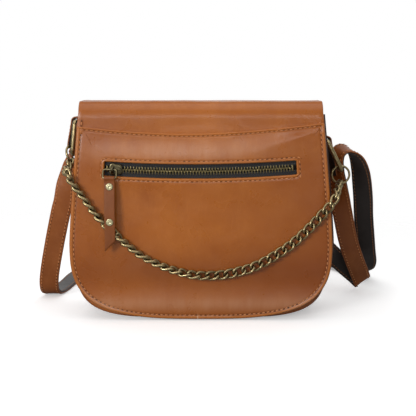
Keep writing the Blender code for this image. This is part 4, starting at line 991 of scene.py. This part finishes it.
def block(size, place, width, segments, turn):
    """A small box with rounded edges, turned in the plane of the flap."""
    work = bmesh.new()
    bmesh.ops.create_cube(work, size=1)
    bmesh.ops.scale(work, vec=size, verts=work.verts)
    bmesh.ops.bevel(work, geom=work.edges[:], offset=width, segments=segments, profile=0.5, affect="EDGES")
    placing = Matrix.Translation(place) @ Matrix.Rotation(turn, 4, "Y")
    bmesh.ops.transform(work, matrix=placing, verts=work.verts)
    mesh = bpy.data.meshes.new("block")
    work.to_mesh(mesh)
    work.free()
    return mesh


TOOTH_ROOT = 3.7 * MM
TOOTH_TIP = -0.85 * MM
TOOTH_BODY = (1.1 * MM, 2.1 * MM, TOOTH_ROOT - TOOTH_TIP)
TOOTH_HEAD = (1.75 * MM, 1.5 * MM, 1.5 * MM)


def build_zip():
    """Tapes, beads, single teeth and stops."""
    middle_y = TAPE_FRONT_Y + TAPE_THICK / 2
    for name, side in (("upper", -1), ("lower", 1)):
        dressed("zip_tape_" + name, TAPE, "flap", 0.1 * MM, 2)
        teeth = []
        for k in range(TEETH):
            along = TEETH_LEFT + (0 if side < 0 else TOOTH_PITCH / 2) + k * TOOTH_PITCH
            for size, drop, width in ((TOOTH_BODY, (TOOTH_ROOT + TOOTH_TIP) / 2, 0.28 * MM),
                                      (TOOTH_HEAD, 0.1 * MM, 0.4 * MM)):
                p = zip_place(along, side * drop)
                teeth.append(block(size, Vector((p.x, middle_y, p.y)), width, 2, -along / ZIP_RADIUS))
        link("zip_teeth_look_" + name, joined("teeth_" + name, teeth), ZIP_BRASS, "flap",
             ["zip_teeth_" + name])
        route = []
        for s in np.linspace(SLOT_LEFT - 4 * MM, SLOT_RIGHT + 4 * MM, 60):
            p = zip_place(s, side * 3.3 * MM)
            route.append(Vector((p.x, middle_y, p.y)))
        link("zip_bead_" + name, tube(route, 0.85 * MM, 8, False), TAPE, "flap")
    for name in ("left", "right"):
        dressed("zip_stop_" + name, ZIP_BRASS, "flap", 0.5 * MM, 3)


SLIDER_ALONG = -0.0787
SLIDER_FRONT_Y = -0.0499
SLIDER_BACK_Y = -0.0478


def build_slider():
    """Slider: domed plate with a raised crown, flanges and the arch for the stirrup."""
    centre, turn = zip_place(SLIDER_ALONG), -SLIDER_ALONG / ZIP_RADIUS
    place = Matrix.Translation((centre.x, 0, centre.y)) @ Matrix.Rotation(turn, 4, "Y")
    front, back = SLIDER_FRONT_Y, SLIDER_BACK_Y
    rim = []
    for k in range(48):
        angle = math.tau * k / 48
        x = 6.9 * MM * math.copysign(abs(math.cos(angle)) ** 0.62, math.cos(angle))
        half = 6.2 * MM - 0.9 * MM * (x / (7 * MM))
        waist = 1 - 0.10 * math.exp(-((x - 1.5 * MM) / (2.2 * MM)) ** 2)
        rim.append((x, half * waist * math.copysign(abs(math.sin(angle)) ** 0.62, math.sin(angle))))
    rows = []
    for share, y in ((0.93, back), (1.0, back - 0.25 * MM), (1.0, front + 0.75 * MM),
                     (0.965, front + 0.3 * MM), (0.88, front + 0.05 * MM), (0.70, front - 0.15 * MM),
                     (0.45, front - 0.22 * MM), (0.2, front - 0.24 * MM)):
        rows.append([place @ Vector((x * share, y, z * share)) for x, z in rim])
    plate = loft("slider_plate", rows)
    arch_rows = []
    for k in range(19):
        angle = math.pi * k / 18
        z = 4.0 * MM * math.cos(angle)
        y = front + 0.2 * MM - 3.55 * MM * math.sin(angle) ** 0.75
        half = 1.0 * MM + 0.5 * MM * abs(math.cos(angle)) ** 2
        tangent = math.atan2(math.cos(angle), math.sin(angle))
        ring = []
        for s in range(12):
            around = math.tau * s / 12
            ring.append(place @ Vector((-3.2 * MM + half * math.cos(around),
                                        y + 0.60 * MM * math.sin(around) * abs(math.cos(tangent)) ** 0.3,
                                        z + 0.60 * MM * math.sin(around) * math.sin(tangent))))
        arch_rows.append(ring)
    arch = loft("slider_arch", arch_rows)
    ridge_place = place @ Vector((2.4 * MM, front - 0.3 * MM, 0))
    ridge = block((5.2 * MM, 0.8 * MM, 2.6 * MM), ridge_place, 0.35 * MM, 3, turn)
    link("slider_look", joined("slider_look", [plate, arch, ridge]), SLIDER_BRASS, "slider", ["zip_slider"])
    dressed("zip_slider_back", ZIP_BRASS, "slider", 0.3 * MM, 2)


PULL_UPPER = Vector((-0.0925, -0.0510, 0.1586))
PULL_LOWER = Vector((-0.0925, -0.0557, 0.1501))


def pull_bow(z):
    """How far the pull stands off in front of the line that it hangs on, over the chain."""
    return 3.0 * MM * float(soft_step((PULL_LOWER.z - z) / 0.038))


PULL_LENGTH = 0.077
PULL_HALF = 5.4 * MM
PULL_LAYER = 1.12 * MM
PULL_LOOP = 1.72 * MM
PULL_SLANT = 10.5 * MM
PULL_ROWS = 26
# Radius and height of a rivet's cap, in mm, from the middle to the rim
RIVET_PROFILE = ((0.0, 0.62), (0.6, 0.66), (1.2, 0.92), (1.5, 0.96), (1.8, 0.84), (2.1, 0.80), (2.6, 0.90),
                 (3.2, 0.86), (3.6, 0.60), (3.8, 0.0))


def build_stirrup():
    """Rounded rectangle of wire, through the slider's arch and the pull's loop."""
    down = (PULL_LOWER - PULL_UPPER).normalized()
    reach = (PULL_LOWER - PULL_UPPER).length
    radius, half = 2.2 * MM, 6.8 * MM
    route = []
    for x, d, start in ((half - radius, radius, -90), (half - radius, reach - radius, 0),
                        (radius - half, reach - radius, 90), (radius - half, radius, 180)):
        for k in range(7):
            angle = math.radians(start + 15 * k)
            route.append(PULL_UPPER + Vector((x + radius * math.cos(angle), 0, 0))
                         + down * (d + radius * math.sin(angle)))
    link("stirrup_look", tube(route, 0.92 * MM, 12), STIRRUP_BRASS, "pull", ["zip_stirrup"])


def build_pull():
    """Folded leather pull with a slanted end, and its two rivets."""
    foot = PULL_LOWER.z - PULL_LENGTH + 2.3 * MM
    tall = PULL_LOWER.z - 2.4 * MM - foot
    path = [(0.60 * MM, foot + tall * k / (PULL_ROWS - 1)) for k in range(PULL_ROWS)]
    for k in range(13):
        angle = math.radians(-50 + 280 * k / 12)
        path.append((PULL_LOOP * math.cos(angle), PULL_LOWER.z + PULL_LOOP * math.sin(angle)))
    path += [(-y, z) for y, z in reversed(path[:PULL_ROWS])]
    frames = []
    for k, (y, z) in enumerate(path):
        before, after = beside(path, k)
        along = Vector((0, after[0] - before[0], after[1] - before[1])).normalized()
        frames.append((Vector((PULL_LOWER.x, PULL_LOWER.y + y - pull_bow(z), z)), along,
                       Vector((0, along.z, -along.y))))
    mesh = strip("pull_leather", frames, PULL_HALF, PULL_LAYER, 8)
    for vertex in mesh.vertices:
        share = min(max((foot + 0.024 - vertex.co.z) / 0.024, 0), 1)
        vertex.co.z += PULL_SLANT * (vertex.co.x - PULL_LOWER.x + PULL_HALF) / (2 * PULL_HALF) * share
    link("pull_leather", mesh, PULL_BROWN, "pull", ["pull_tab"])
    for name, drop in (("upper", 0.0085), ("lower", 0.0445)):
        z = PULL_LOWER.z - drop
        face = Vector((PULL_LOWER.x, PULL_LOWER.y - 1.15 * MM - pull_bow(z), z))
        rows = []
        for radius, height in reversed(RIVET_PROFILE):
            ring = []
            for s in range(32):
                turn, reach = math.tau * s / 32, max(radius, 0.05) * MM
                ring.append(face + Vector((reach * math.cos(turn), -height * MM, reach * math.sin(turn))))
            rows.append(ring)
        link("rivet_look_" + name, loft("rivet", rows), RIVET_BRASS, "pull", ["pull_rivet_" + name])


# Rings, tabs, chain and strap

RING_WIRE = 0.00225
RING_HALF = 0.01825
RING_DEPTH = 0.034
RING_TOP_CORNER = 0.0035
RING_LOW_CORNER = 0.006
TAB_LEATHER = 0.0016
# For each side: height of the ring's bar, the ring's lean, the drop and the turn of the tab's outer leg
SIDE_RINGS = {-1: dict(name="left", z=0.205, lean=6.5, drop=0.029, turn=14),
              1: dict(name="right", z=0.1845, lean=27.5, drop=0.038, turn=25)}
TAB_HALF = 9.5 * MM
TAB_INNER_LEG = 0.024
TAB_STITCH_ACROSS = 7.2 * MM
TAB_FLARE = 0.0030
# Frames of the inner leg and of the bend, where the black inside starts and where the outer leg starts
TAB_INNER_ROWS = 10
TAB_BEND_ROWS = 16
TAB_INSIDE_FROM = 12
TAB_OUTER_FROM = 27
O_RADIUS = 0.0093
O_WIRE = 0.0011
# The right O-ring hangs from the D-ring's lower bar, the left one in its front lower corner
RIGHT_O_Y = -0.0103
RIGHT_O_SAG = 0.0053
LEFT_O_CORNER_DEG = 45
LEFT_O_TURN_DEG = 55
LEFT_O_SAG = 0.0025
# The rings' wire against the solids' wire
D_RING_STOUT = 1.12
O_RING_STOUT = 1.08


def bar_place(side):
    """Where a D-ring's bar is, across and up."""
    z = SIDE_RINGS[side]["z"]
    return side * (half_width(z, BODY) + 0.6 * MM + TAB_LEATHER + RING_WIRE), z


def ring_matrix(side):
    """A D-ring's own frame: its bar along y, its loop towards -z."""
    x, z = bar_place(side)
    lean = math.radians(SIDE_RINGS[side]["lean"])
    return Matrix.Translation((x, 0, z)) @ Matrix.Rotation(-side * lean, 4, "Y")


def o_ring_frame(side):
    """An O-ring's centre, its way down and its way across."""
    place = ring_matrix(side)
    if side > 0:
        down = Vector((0, 0, -1))
        return place @ Vector((0, RIGHT_O_Y, -RING_DEPTH)) + down * RIGHT_O_SAG, down, Vector((1, 0, 0))
    corner, turn = math.radians(LEFT_O_CORNER_DEG), math.radians(LEFT_O_TURN_DEG)
    radial = Vector((0, -math.sin(corner), -math.cos(corner)))
    wire_way = Vector((0, math.cos(corner), -math.sin(corner)))
    wire = place @ (Vector((0, RING_LOW_CORNER - RING_HALF, RING_LOW_CORNER - RING_DEPTH))
                    + radial * RING_LOW_CORNER)
    swing = place.to_3x3()
    down = swing @ radial
    across = swing @ (Vector((math.cos(turn), 0, 0)) + wire_way * math.sin(turn))
    return wire + down * LEFT_O_SAG, down, across


def build_rings(side, name):
    """A D-ring and the O-ring that hangs in it."""
    place = ring_matrix(side)
    route = []
    for y, z, radius, start in (
            (RING_HALF - RING_TOP_CORNER, -RING_TOP_CORNER, RING_TOP_CORNER, 90),
            (RING_HALF - RING_LOW_CORNER, RING_LOW_CORNER - RING_DEPTH, RING_LOW_CORNER, 0),
            (RING_LOW_CORNER - RING_HALF, RING_LOW_CORNER - RING_DEPTH, RING_LOW_CORNER, -90),
            (RING_TOP_CORNER - RING_HALF, -RING_TOP_CORNER, RING_TOP_CORNER, -180)):
        for k in range(9):
            angle = math.radians(start - 90 * k / 8)
            route.append(place @ Vector((0, y + radius * math.cos(angle), z + radius * math.sin(angle))))
    link("d_ring_look_" + name, tube(route, RING_WIRE * D_RING_STOUT, 18), BRASS, "ring_" + name,
         ["d_ring_" + name])
    centre, down, across = o_ring_frame(side)
    route = []
    for k in range(56):
        angle = math.tau * k / 56
        route.append(centre + O_RADIUS * (math.cos(angle) * down + math.sin(angle) * across))
    link("o_ring_look_" + name, tube(route, O_WIRE * O_RING_STOUT, 12), BRASS, "loop_" + name,
         ["o_ring_" + name])


def tab_frames(side):
    """Up the gusset, round the ring's bar and down the outer leg, which flares and turns."""
    facts = SIDE_RINGS[side]
    x, z = bar_place(side)
    x, z = abs(x) + 0.9 * MM, z + 0.6 * MM
    loop = RING_WIRE + 1.2 * MM + TAB_LEATHER / 2
    path = []
    for k in range(TAB_INNER_ROWS):
        height = z - TAB_INNER_LEG * (1 - k / TAB_INNER_ROWS)
        path.append((half_width(height, BODY) + 0.3 * MM + TAB_LEATHER / 2, height))
    for k in range(TAB_BEND_ROWS + 1):
        angle = math.radians(180 - 180 * k / TAB_BEND_ROWS)
        path.append((x + loop * math.cos(angle), z + loop * math.sin(angle)))
    for k in range(1, 9):
        path.append((x + loop + TAB_FLARE * (k / 8) ** 1.3, z - facts["drop"] * k / 8))
    frames = []
    for k, (across, up) in enumerate(path):
        before, after = beside(path, k)
        along = Vector((side * (after[0] - before[0]), 0, after[1] - before[1])).normalized()
        turn = math.radians(facts["turn"]) * min(max(k - TAB_OUTER_FROM + 1, 0) / 6, 1)
        out = Matrix.Rotation(side * turn, 3, "Z") @ Vector((-side * along.z, 0, side * along.x))
        out = (out - along * out.dot(along)).normalized()
        frames.append((Vector((side * across, 0, up)), along, out))
    return frames


def build_side_hardware():
    """On each side the rings, the folded tab with its black inside, and the tab's stitches."""
    for side, facts in SIDE_RINGS.items():
        name = facts["name"]
        build_rings(side, name)
        frames = tab_frames(side)
        link("tab_look_" + name, strip("tab_look_" + name, frames, TAB_HALF, TAB_LEATHER, 8), BROWN, "bag",
             ["tab_" + name])
        inside = [(place - out * (TAB_LEATHER / 2 + 0.3 * MM), along, out)
                  for place, along, out in frames[TAB_INSIDE_FROM:]]
        lining = strip("tab_inside", inside, TAB_HALF - 0.3 * MM, 0.5 * MM, 8)
        link("tab_inside_" + name, lining, BLACK_LINING, "bag")
        outer_leg = frames[TAB_OUTER_FROM:]
        for u in (-TAB_STITCH_ACROSS, TAB_STITCH_ACROSS):
            places = [place + out * 0.85 * MM + along.cross(out).normalized() * u
                      for place, along, out in outer_leg]
            end = "front" if u * side < 0 else "back"
            stitch_run("stitches_tab_%s_%s" % (name, end), places, [out for _, _, out in outer_leg], "bag",
                       pitch=3.6 * MM, length=2.4 * MM)


def smooth_point(stations, share):
    """A point of the smooth curve through the stations. A share of 2.5 is halfway from the third on."""
    k = min(int(share), len(stations) - 2)
    t = share - k
    p0, p1 = stations[max(k - 1, 0)], stations[k]
    p2, p3 = stations[k + 1], stations[min(k + 2, len(stations) - 1)]
    return 0.5 * ((2 * p1) + (p2 - p0) * t + (2 * p0 - 5 * p1 + 4 * p2 - p3) * t ** 2
                  + (3 * p1 - p0 - 3 * p2 + p3) * t ** 3)


def even_walk(stations, normals, step):
    """Places, directions and normals at even steps along the curve, and its length."""
    shares = [k / 12 for k in range((len(stations) - 1) * 12 + 1)]
    lengths = lengths_along([smooth_point(stations, share) for share in shares])
    count = max(round(lengths[-1] / step), 2)
    walk, index = [], 0
    for k in range(count + 1):
        target = lengths[-1] * k / count
        while index < len(lengths) - 2 and lengths[index + 1] < target:
            index += 1
        part_way = (target - lengths[index]) / (lengths[index + 1] - lengths[index])
        share = shares[index] + (shares[index + 1] - shares[index]) * min(part_way, 1)
        ahead = smooth_point(stations, min(share + 0.02, shares[-1]))
        behind = smooth_point(stations, max(share - 0.02, 0))
        along = (ahead - behind).normalized()
        at = min(int(share), len(normals) - 2)
        normal = normals[at].lerp(normals[at + 1], share - at)
        normal = (normal - along * normal.dot(along)).normalized()
        walk.append((smooth_point(stations, share), along, normal))
    return walk, lengths[-1]


CHAIN_LINKS = 45
CHAIN_END = 3.0 * MM
CHAIN_STAND_OFF = 0.0027
CHAIN_FACE_Y = PANEL_FACE_Y - CHAIN_STAND_OFF
CHAIN_LEFT_TURN = (
    ((-0.1376, -0.0420, 0.1570), (-1, 0, 0)), ((-0.1366, -0.0485, 0.1560), (-1, -0.5, 0)),
    ((-0.1338, -0.0535, 0.1530), (-0.4, -1, 0)), ((-0.1315, -0.0540, 0.1480), (0, -1, 0)),
    ((-0.1268, -0.0528, 0.1405), (0, -1, 0)),
)
CHAIN_SWAG = (
    (-0.1210, 0.1325), (-0.1089, 0.1152), (-0.0961, 0.1007), (-0.0876, 0.0928), (-0.0783, 0.0836),
    (-0.0688, 0.0757), (-0.0594, 0.0689), (-0.0461, 0.0619), (-0.0309, 0.0558), (-0.0118, 0.0506),
    (0.0073, 0.0490), (0.0263, 0.0502), (0.0455, 0.0548), (0.0606, 0.0610), (0.0739, 0.0684),
    (0.0928, 0.0812), (0.1110, 0.0982),
)
CHAIN_RIGHT_TURN = (
    ((0.1245, -0.0530, 0.1133), (0, -1, 0)), ((0.1318, -0.0542, 0.1222), (0.1, -1, 0)),
    ((0.1362, -0.0528, 0.1290), (0.5, -1, 0)), ((0.1398, -0.0455, 0.1350), (1, -0.6, 0)),
    ((0.1430, -0.0340, 0.1392), (1, -0.2, 0)), ((0.1460, -0.0225, 0.1402), (1, 0.1, 0)),
)
# How far the links roll on the leather, in degrees: on edge at the left, flat at the right
CHAIN_ROLL_X = (-0.140, -0.132, -0.104, -0.0985, -0.0955, -0.0895, -0.0865, -0.081, -0.050, -0.028, -0.010,
                0.014, 0.040, 0.054, 0.068, 0.100, 0.130)
CHAIN_ROLL = (-60, -84, -88, -50, -12, -12, -50, -88, -84, -72, -46, -14, -6, -26, -10, -5, 0)
# Wire, half width and twist of the links, in mm: stout where they lie on edge, open where they lie flat
CHAIN_SIZE_X = (-0.060, -0.015, 0.030, 0.125, 0.136)
CHAIN_WIRE = (1.66, 1.54, 1.36, 1.36, 1.50)
CHAIN_HALF = (3.0, 3.4, 4.1, 4.1, 3.3)
CHAIN_TWIST = (2.0, 1.85, 1.7, 1.7, 1.9)


def build_chain():
    """Curb chain of single links."""
    left_centre, left_down, left_across = o_ring_frame(-1)
    right_centre, right_down, right_across = o_ring_frame(1)
    stations = [left_centre + left_down * O_RADIUS] + [Vector(place) for place, _ in CHAIN_LEFT_TURN]
    normals = [-left_across] + [Vector(normal).normalized() for _, normal in CHAIN_LEFT_TURN]
    for x, z in CHAIN_SWAG:
        stations.append(Vector((x, CHAIN_FACE_Y, z)))
        normals.append(Vector((0, -1, 0)))
    stations += [Vector(place) for place, _ in CHAIN_RIGHT_TURN] + [right_centre + right_down * O_RADIUS]
    normals += [Vector(normal).normalized() for _, normal in CHAIN_RIGHT_TURN] + [right_across]
    fine, length = even_walk(stations, normals, 0.22 * MM)
    pitch = (length - 2 * CHAIN_END) / (CHAIN_LINKS - 1)
    meshes = []
    for n in range(CHAIN_LINKS):
        place, along, normal = fine[round((CHAIN_END + pitch * n) / length * (len(fine) - 1))]
        wire, half, twist = (float(np.interp(place.x, CHAIN_SIZE_X, sizes)) * MM
                             for sizes in (CHAIN_WIRE, CHAIN_HALF, CHAIN_TWIST))
        reach = (pitch + 0.4 * MM) / 2 + wire
        roll = math.radians(float(np.interp(place.x, CHAIN_ROLL_X, CHAIN_ROLL)))
        deep = (half + wire) * abs(math.sin(roll)) + (wire + twist) * math.cos(roll)
        place = place + normal * (deep - CHAIN_STAND_OFF) * max(-normal.y, 0) ** 4
        normal = Matrix.Rotation(roll, 3, along) @ normal
        across = normal.cross(along)
        route = []
        for k in range(36):
            turn = math.tau * k / 36
            route.append(place + along * reach * math.cos(turn) + across * half * math.sin(turn)
                         - normal * twist * math.sin(2 * turn))
        meshes.append(tube(route, wire, 10))
    link("chain_look", joined("chain_look", meshes), BRASS, "bag", ["chain"])


# The strap's line from the left ring round behind the bag to the right ring and back, and the way the
# leather faces at each station
STRAP_ROUTE = (
    ((-0.1386, 0.0030, 0.1570), (0.87, 0, -0.5)), ((-0.1349, 0.0030, 0.1635), (0.87, 0, -0.5)),
    ((-0.1320, 0.0030, 0.1685), (1, 0, -0.3)), ((-0.1317, 0.0030, 0.1735), (0.95, 0, 0.4)),
    ((-0.1357, 0.0030, 0.1770), (0, 0, 1)), ((-0.1401, 0.0030, 0.1735), (-1, 0, 0.4)),
    ((-0.1410, 0.0030, 0.1670), (-0.93, -0.36, 0)), ((-0.1428, 0.0030, 0.1580), (-0.75, -0.65, 0.1)),
    ((-0.1447, 0.0034, 0.1470), (-0.55, -0.83, 0)), ((-0.1480, 0.0050, 0.1340), (-0.3, -0.95, 0)),
    ((-0.1510, 0.0085, 0.1180), (-0.1, -1, 0)), ((-0.1550, 0.0120, 0.1050), (-0.05, -1, 0)),
    ((-0.1650, 0.0220, 0.0670), (-0.05, -1, -0.1)), ((-0.1735, 0.0330, 0.0310), (-0.05, -0.95, -0.2)),
    ((-0.1760, 0.0420, 0.0120), (0, -0.75, -0.66)), ((-0.1745, 0.0540, 0.0036), (0, -0.25, -0.97)),
    ((-0.1710, 0.0720, 0.0018), (0, 0, -1)), ((-0.1660, 0.1100, 0.0018), (0, 0, -1)),
    ((-0.1610, 0.1600, 0.0018), (0, 0, -1)), ((-0.1460, 0.2060, 0.0018), (0, 0, -1)),
    ((-0.1140, 0.2360, 0.0018), (0, 0, -1)), ((-0.0720, 0.2470, 0.0020), (0, 0, -1)),
    ((-0.0300, 0.2480, 0.0036), (0, 0, -1)), ((0.0000, 0.2480, 0.0040), (0, 0, -1)),
    ((0.0600, 0.2480, 0.0040), (0, 0, -1)), ((0.0880, 0.2440, 0.0050), (0, 0, -1)),
    ((0.1120, 0.2230, 0.0110), (0, 0.1, -1)), ((0.1225, 0.1880, 0.0260), (0, 0, -1)),
    ((0.1260, 0.1480, 0.0450), (0, 0.1, -1)), ((0.1310, 0.1100, 0.0600), (0.1, 0.5, -0.85)),
    ((0.1390, 0.0800, 0.0600), (0.1, 0.9, -0.3)), ((0.1530, 0.0690, 0.0470), (0, 1, 0)),
    ((0.1710, 0.0740, 0.0300), (0, 1, 0)), ((0.1855, 0.0795, 0.0172), (0.1, 1, -0.1)),
    ((0.1917, 0.0745, 0.0118), (0.59, 0, -0.81)), ((0.1893, 0.0690, 0.0180), (0.05, -1, -0.1)),
    ((0.1850, 0.0620, 0.0270), (-0.05, -1, -0.1)),
    ((0.1765, 0.0500, 0.0450), (-0.05, -1, 0)), ((0.1678, 0.0400, 0.0670), (-0.05, -1, 0)),
    ((0.1592, 0.0250, 0.0960), (-0.15, -1, 0)), ((0.1522, 0.0125, 0.1240), (-0.45, -0.9, 0)),
    ((0.1496, 0.0070, 0.1385), (-0.7, -0.7, 0)), ((0.1474, 0.0035, 0.1520), (-0.85, -0.5, 0)),
    ((0.1462, 0.0030, 0.1620), (-0.85, -0.5, 0.1)), ((0.1474, 0.0030, 0.1705), (-0.66, -0.5, 0.55)),
    ((0.1525, 0.0030, 0.1752), (0, -0.42, 0.9)), ((0.1605, 0.0040, 0.1742), (0.45, -0.1, 0.87)),
    ((0.1688, 0.0080, 0.1655), (0.72, 0.45, 0.45)), ((0.1742, 0.0140, 0.1520), (0.6, 0.75, 0.2)),
    ((0.1776, 0.0210, 0.1380), (0.42, 0.9, 0.1)), ((0.1820, 0.0330, 0.1160), (0.25, 0.95, 0.2)),
    ((0.1862, 0.0480, 0.0930), (0.2, 0.9, 0.35)), ((0.1962, 0.0780, 0.0500), (0.1, 0.85, 0.5)),
    ((0.2050, 0.1120, 0.0250), (0.05, 0.6, 0.8)), ((0.2035, 0.1370, 0.0120), (0, 0.3, 0.95)),
    ((0.1970, 0.1600, 0.0062), (0, 0, 1)), ((0.1850, 0.1820, 0.0054), (0, 0, 1)),
    ((0.1690, 0.2090, 0.0056), (0, 0, 1)), ((0.1370, 0.2380, 0.0066), (0, 0, 1)),
    ((0.0950, 0.2478, 0.0084), (0, 0, 1)), ((0.0600, 0.2482, 0.0089), (0, 0, 1)),
    ((0.0200, 0.2482, 0.0089), (0, 0, 1)),
)


STRAP_STITCH_ACROSS = 8.3 * MM
STRAP_STITCH_PITCH = 4.4 * MM
STRAP_STITCH_LIFT = 0.08 * MM


def build_strap():
    """The strap's two layers with stitches on both faces, and the slide adjuster."""
    stations = [Vector(place) for place, _ in STRAP_ROUTE]
    normals = [Vector(normal).normalized() for _, normal in STRAP_ROUTE]
    walk, _ = even_walk(stations, normals, 3.0 * MM)
    top = [(place + normal * 0.7 * MM, along, normal) for place, along, normal in walk]
    low = [(place - normal * 0.95 * MM, along, normal) for place, along, normal in walk]
    link("strap_leather_look", strip("strap_leather_look", top, 11.0 * MM, 1.6 * MM, 8), BROWN, "bag",
         ["strap_leather"])
    link("strap_lining_look", strip("strap_lining_look", low, 10.7 * MM, 1.1 * MM, 8), BLACK_LINING, "bag",
         ["strap_lining"])
    for name, u in (("near", -STRAP_STITCH_ACROSS), ("far", STRAP_STITCH_ACROSS)):
        over = [place + along.cross(normal).normalized() * u + normal * 1.5 * MM
                for place, along, normal in walk]
        outs = [normal for _, _, normal in walk]
        stitch_run("stitches_strap_" + name, over, outs, "bag", STRAP_STITCH_PITCH, lift=STRAP_STITCH_LIFT)
        under = [place - normal * 3.0 * MM for place, normal in zip(over, outs)]
        stitch_run("stitches_lining_" + name, under, [-normal for normal in outs], "bag", STRAP_STITCH_PITCH,
                   lift=STRAP_STITCH_LIFT, material=STRAP_THREAD)
    dressed("strap_slider", BRASS, "adjuster", 0.5 * MM, 3)


build_panel()
build_flap_stitches()
build_yoke()
build_flap_edges()
build_body()
build_zip()
build_slider()
build_stirrup()
build_pull()
build_side_hardware()
build_chain()
build_strap()


# Camera, floor and light

camera_data = bpy.data.cameras.new("camera")
camera_data.lens = 69.23
camera_data.sensor_width = 36.0
camera_data.dof.use_dof = False
camera = bpy.data.objects.new("camera", camera_data)
camera.location = (0.0073, -0.86, 0.240)
camera.rotation_euler = (math.radians(90 - 8.5), 0, 0)
bpy.context.scene.collection.objects.link(camera)
bpy.context.scene.camera = camera


def floor_material():
    """White ground that keeps the shadow near the bag and fades into the background further off."""
    shade = Shade("floor")
    path = shade.tree.nodes.new("ShaderNodeLightPath")
    seen = Value(shade.tree, path.outputs["Is Camera Ray"])
    shade.set(Base_Color=shade.mix(seen, (0.32, 0.32, 0.32), (0.93, 0.93, 0.93)), Roughness=0.9,
              Specular_IOR_Level=0.05, Emission_Color=(1.0, 1.0, 1.0), Emission_Strength=seen * 0.33)
    x, y, _ = shade.axes()
    far = (x * x + (y - 0.1) * (y - 0.1)) ** 0.5
    fade = shade.span(far, 0.26, 0.68).clamp() * seen
    clear = shade.tree.nodes.new("ShaderNodeBsdfTransparent")
    blend = shade.tree.nodes.new("ShaderNodeMixShader")
    shade.tree.links.new(fade.socket, blend.inputs[0])
    shade.tree.links.new(shade.shader.outputs[0], blend.inputs[1])
    shade.tree.links.new(clear.outputs[0], blend.inputs[2])
    shade.tree.links.new(blend.outputs[0], shade.tree.nodes["Material Output"].inputs["Surface"])
    return shade.material


floor_mesh = mesh_of("floor", [(-6, -3, 0), (6, -3, 0), (6, 9, 0), (-6, 9, 0)], [(0, 1, 2, 3)])
floor_mesh.materials.append(floor_material())
floor = bpy.data.objects.new("floor", floor_mesh)
bpy.context.scene.collection.objects.link(floor)


def area_light(name, place, aim, power, size, size_y):
    """A soft box that points at its aim."""
    data = bpy.data.lights.new(name, "AREA")
    data.shape = "RECTANGLE"
    data.size = size
    data.size_y = size_y
    data.energy = power
    lamp = bpy.data.objects.new(name, data)
    lamp.location = place
    lamp.rotation_euler = (Vector(aim) - Vector(place)).to_track_quat("-Z", "Y").to_euler()
    bpy.context.scene.collection.objects.link(lamp)


area_light("key", (-1.25, -1.70, 0.66), (0, 0, 0.12), 22, 0.6, 0.6)
area_light("front_strip", (-0.15, -2.0, 0.50), (0, 0, 0.14), 6, 1.7, 0.26)
area_light("overhead", (0.0, -0.35, 1.30), (0, -0.1, 0.1), 5, 1.5, 1.2)

# The world lights the bag from behind and above, and the camera sees plain white
world = bpy.data.worlds.new("world")
bpy.context.scene.world = world
world.use_nodes = True
tree = world.node_tree
ground = tree.nodes["Background"]
ground.inputs["Color"].default_value = (1, 1, 1, 1)
way = tree.nodes.new("ShaderNodeSeparateXYZ")
tree.links.new(tree.nodes.new("ShaderNodeTexCoord").outputs["Generated"], way.inputs[0])
behind, above = Value(tree, way.outputs[1]).clamp(), Value(tree, way.outputs[2]).clamp()
tree.links.new((behind * 0.70 + above * 0.22 + 0.27).socket, ground.inputs["Strength"])
seen = tree.nodes.new("ShaderNodeBackground")
seen.inputs["Color"].default_value = (1, 1, 1, 1)
seen.inputs["Strength"].default_value = 1.0
path = tree.nodes.new("ShaderNodeLightPath")
choose = tree.nodes.new("ShaderNodeMixShader")
tree.links.new(path.outputs["Is Camera Ray"], choose.inputs[0])
tree.links.new(ground.outputs[0], choose.inputs[1])
tree.links.new(seen.outputs[0], choose.inputs[2])
tree.links.new(choose.outputs[0], tree.nodes["World Output"].inputs["Surface"])
bpy.context.scene.view_settings.view_transform = "Standard"
